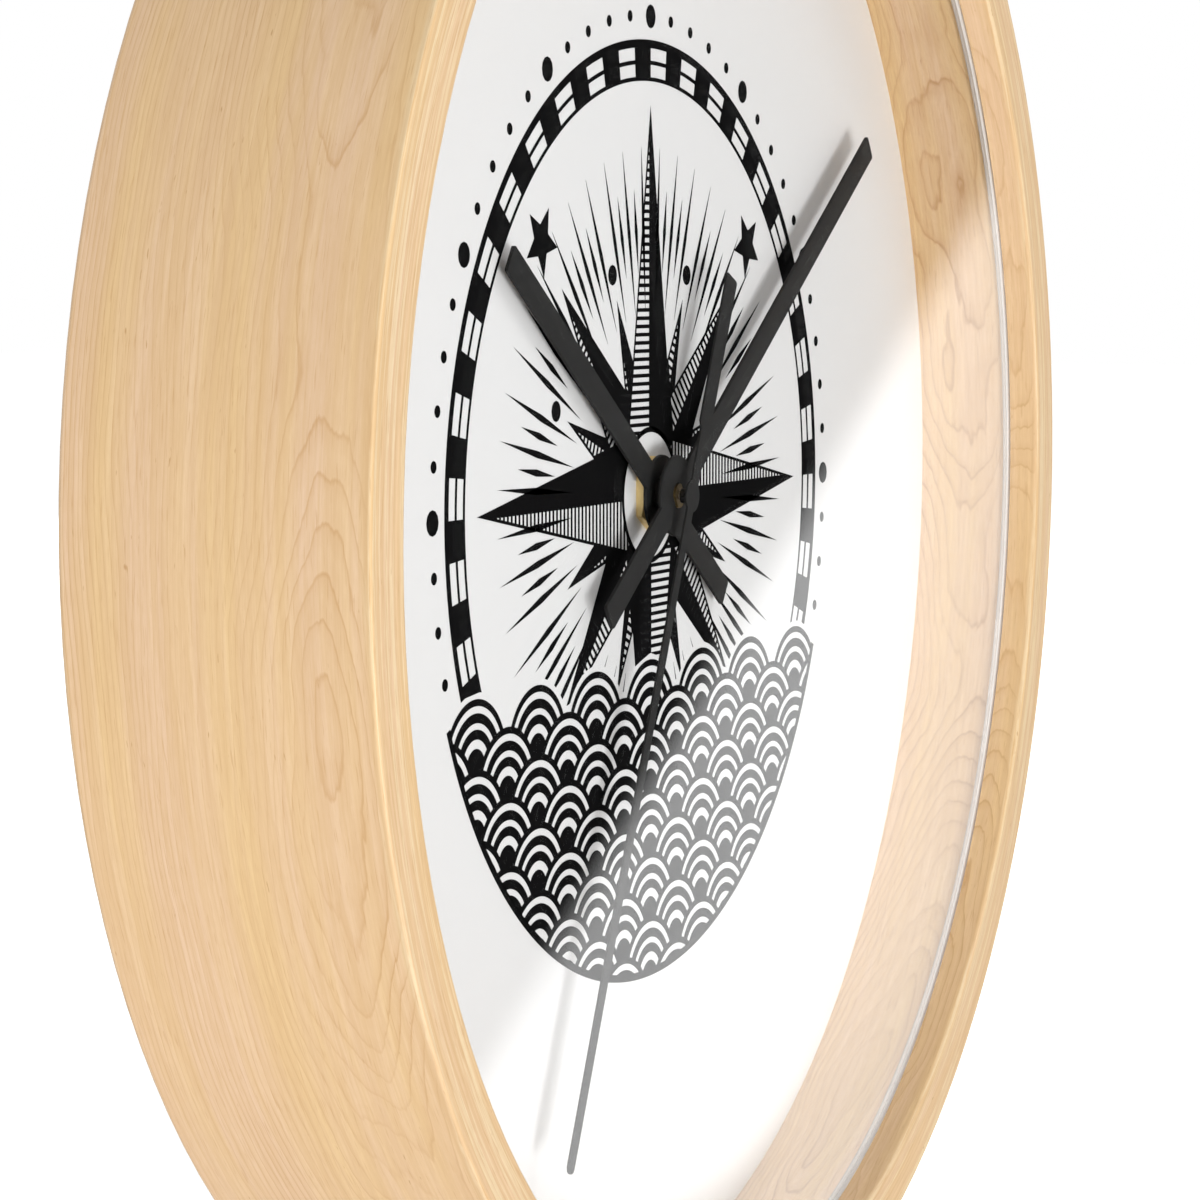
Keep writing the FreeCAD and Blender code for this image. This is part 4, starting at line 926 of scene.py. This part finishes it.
# %% Pane bead and tape
ring_pieces, seat_y = 180, pane_back * mm
foam = moulded("pane_bead_foam", (0.55, 0.48, 0.42), (0.60, 0.53, 0.47), 0.8, 2200, 0.00002)
bead_profile = [(118.3, seat_y + 0.55), (117.8, seat_y + 0.45), (117.6, seat_y + 0.2), (117.75, seat_y + 0.01),
                (118.35, seat_y), (118.43, seat_y - 0.05), (118.45, seat_y), (118.39, seat_y + 0.01),
                (118.39, seat_y + 0.5)]
turned_ring("pane_bead", bead_profile, ring_pieces, foam, "clock_body")

# painted light: the tape's colour is set paler than the bead's, to lift the shade under the lip
lip_shade_lifting_foam = moulded("pane_seat_foam_painted_light", (0.86, 0.84, 0.81), (0.90, 0.88, 0.85), 0.8, 2200, 0.00002)
tape_in, tape_out, tape_front, tape_back = 118.46, 120.58, seat_y - 0.05, seat_y - 0.01
tape_profile = [(tape_in, tape_front), (tape_out, tape_front), (tape_out, tape_back), (tape_in, tape_back)]
turned_ring("pane_seat", tape_profile, ring_pieces, lip_shade_lifting_foam, "clock_body")
print("bead lies at y", round(seat_y, 2), "mm")

# %% [markdown]
# ## Marks moulded into the back
# The maker of a movement moulds a plus and a minus beside the cell, and arrows
# round the knob that say which way it turns. They stand a little proud of the
# case. The knob itself has a low bar across it, to be turned with a fingertip.

# %% Raised marks
soft_edge = 0.00008


def raised(name, outlines, base, top, finish, body):
    """Flat outlines in mm, standing from y = base up to y = top."""
    block = bmesh.new()
    for corners in outlines:
        flat = [block.verts.new((x / mm, base / mm, z / mm)) for x, z in corners]
        lifted = bmesh.ops.extrude_face_region(block, geom=[block.faces.new(flat)])["geom"]
        for corner in (part for part in lifted if isinstance(part, bmesh.types.BMVert)):
            corner.co.y = top / mm
    bmesh.ops.recalc_face_normals(block, faces=block.faces)
    made = object_from(block, name, finish)
    soft = made.modifiers.new("soft_edges", "BEVEL")
    soft.width, soft.segments = soft_edge, 2
    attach(made, body)


def bar(x, z, wide, high):
    left, right, low, top = x - wide / 2, x + wide / 2, z - high / 2, z + high / 2
    return [(left, low), (right, low), (right, top), (left, top)]

knob_low, knob_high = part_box("setting_knob")
knob_x, knob_z = (knob_low.x + knob_high.x) / 2 * mm, (knob_low.z + knob_high.z) / 2 * mm
knob_back, case_back = knob_high.y * mm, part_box("movement_case")[1].y * mm
print("case back at y", round(case_back, 2), "knob at", round(knob_x, 1), round(knob_z, 1),
      "knob back", round(knob_back, 2))

# %% Plus and minus beside the cell
sunk, proud = 0.05, 0.25  # how far a mark reaches into the case and out of it
stroke, stroke_length, stub = 0.9, 4, 1.6
mark_z = cell_high.z * mm + 4.2
plus_x, minus_x = cell_low.x * mm + 5, cell_high.x * mm - 5
stub_off = (stroke + stub) / 2
plus_bars = [bar(plus_x, mark_z, stroke_length, stroke), bar(plus_x, mark_z + stub_off, stroke, stub),
             bar(plus_x, mark_z - stub_off, stroke, stub)]
minus_bars = [bar(minus_x, mark_z, stroke_length, stroke)]
for name, bars in (("plus_mark", plus_bars), ("minus_mark", minus_bars)):
    raised(name, bars, case_back - sunk, case_back + proud, case_black, "clock_body")
print("plus at x", round(plus_x, 1), "and minus at x", round(minus_x, 1))

# %% Arrows round the knob, and its bar
arrow_in, arrow_out, arrow_turn, arrow_pieces = 8.6, 9.4, 100, 20
head_in, head_tip, head_out, head_turn = 7.9, 9, 10.1, 16
bar_width, bar_length, bar_proud = 1.4, 8.4, 0.45
knob_middle, arrows = (knob_x, knob_z), []
for start in (-60, 120):
    stop = start + arrow_turn
    arrows += list(band(arrow_in, arrow_out, start, stop, arrow_pieces, knob_middle))
    arrows.append([at(head_in, stop, knob_middle), at(head_out, stop, knob_middle),
                   at(head_tip, stop + head_turn, knob_middle)])
raised("knob_arrows", arrows, case_back - sunk, case_back + proud, case_black, "clock_body")
raised("knob_bar", [bar(*knob_middle, bar_width, bar_length)], knob_back - sunk, knob_back + bar_proud,
       knob_grey, "setting_knob_body")
print("four marks moulded")
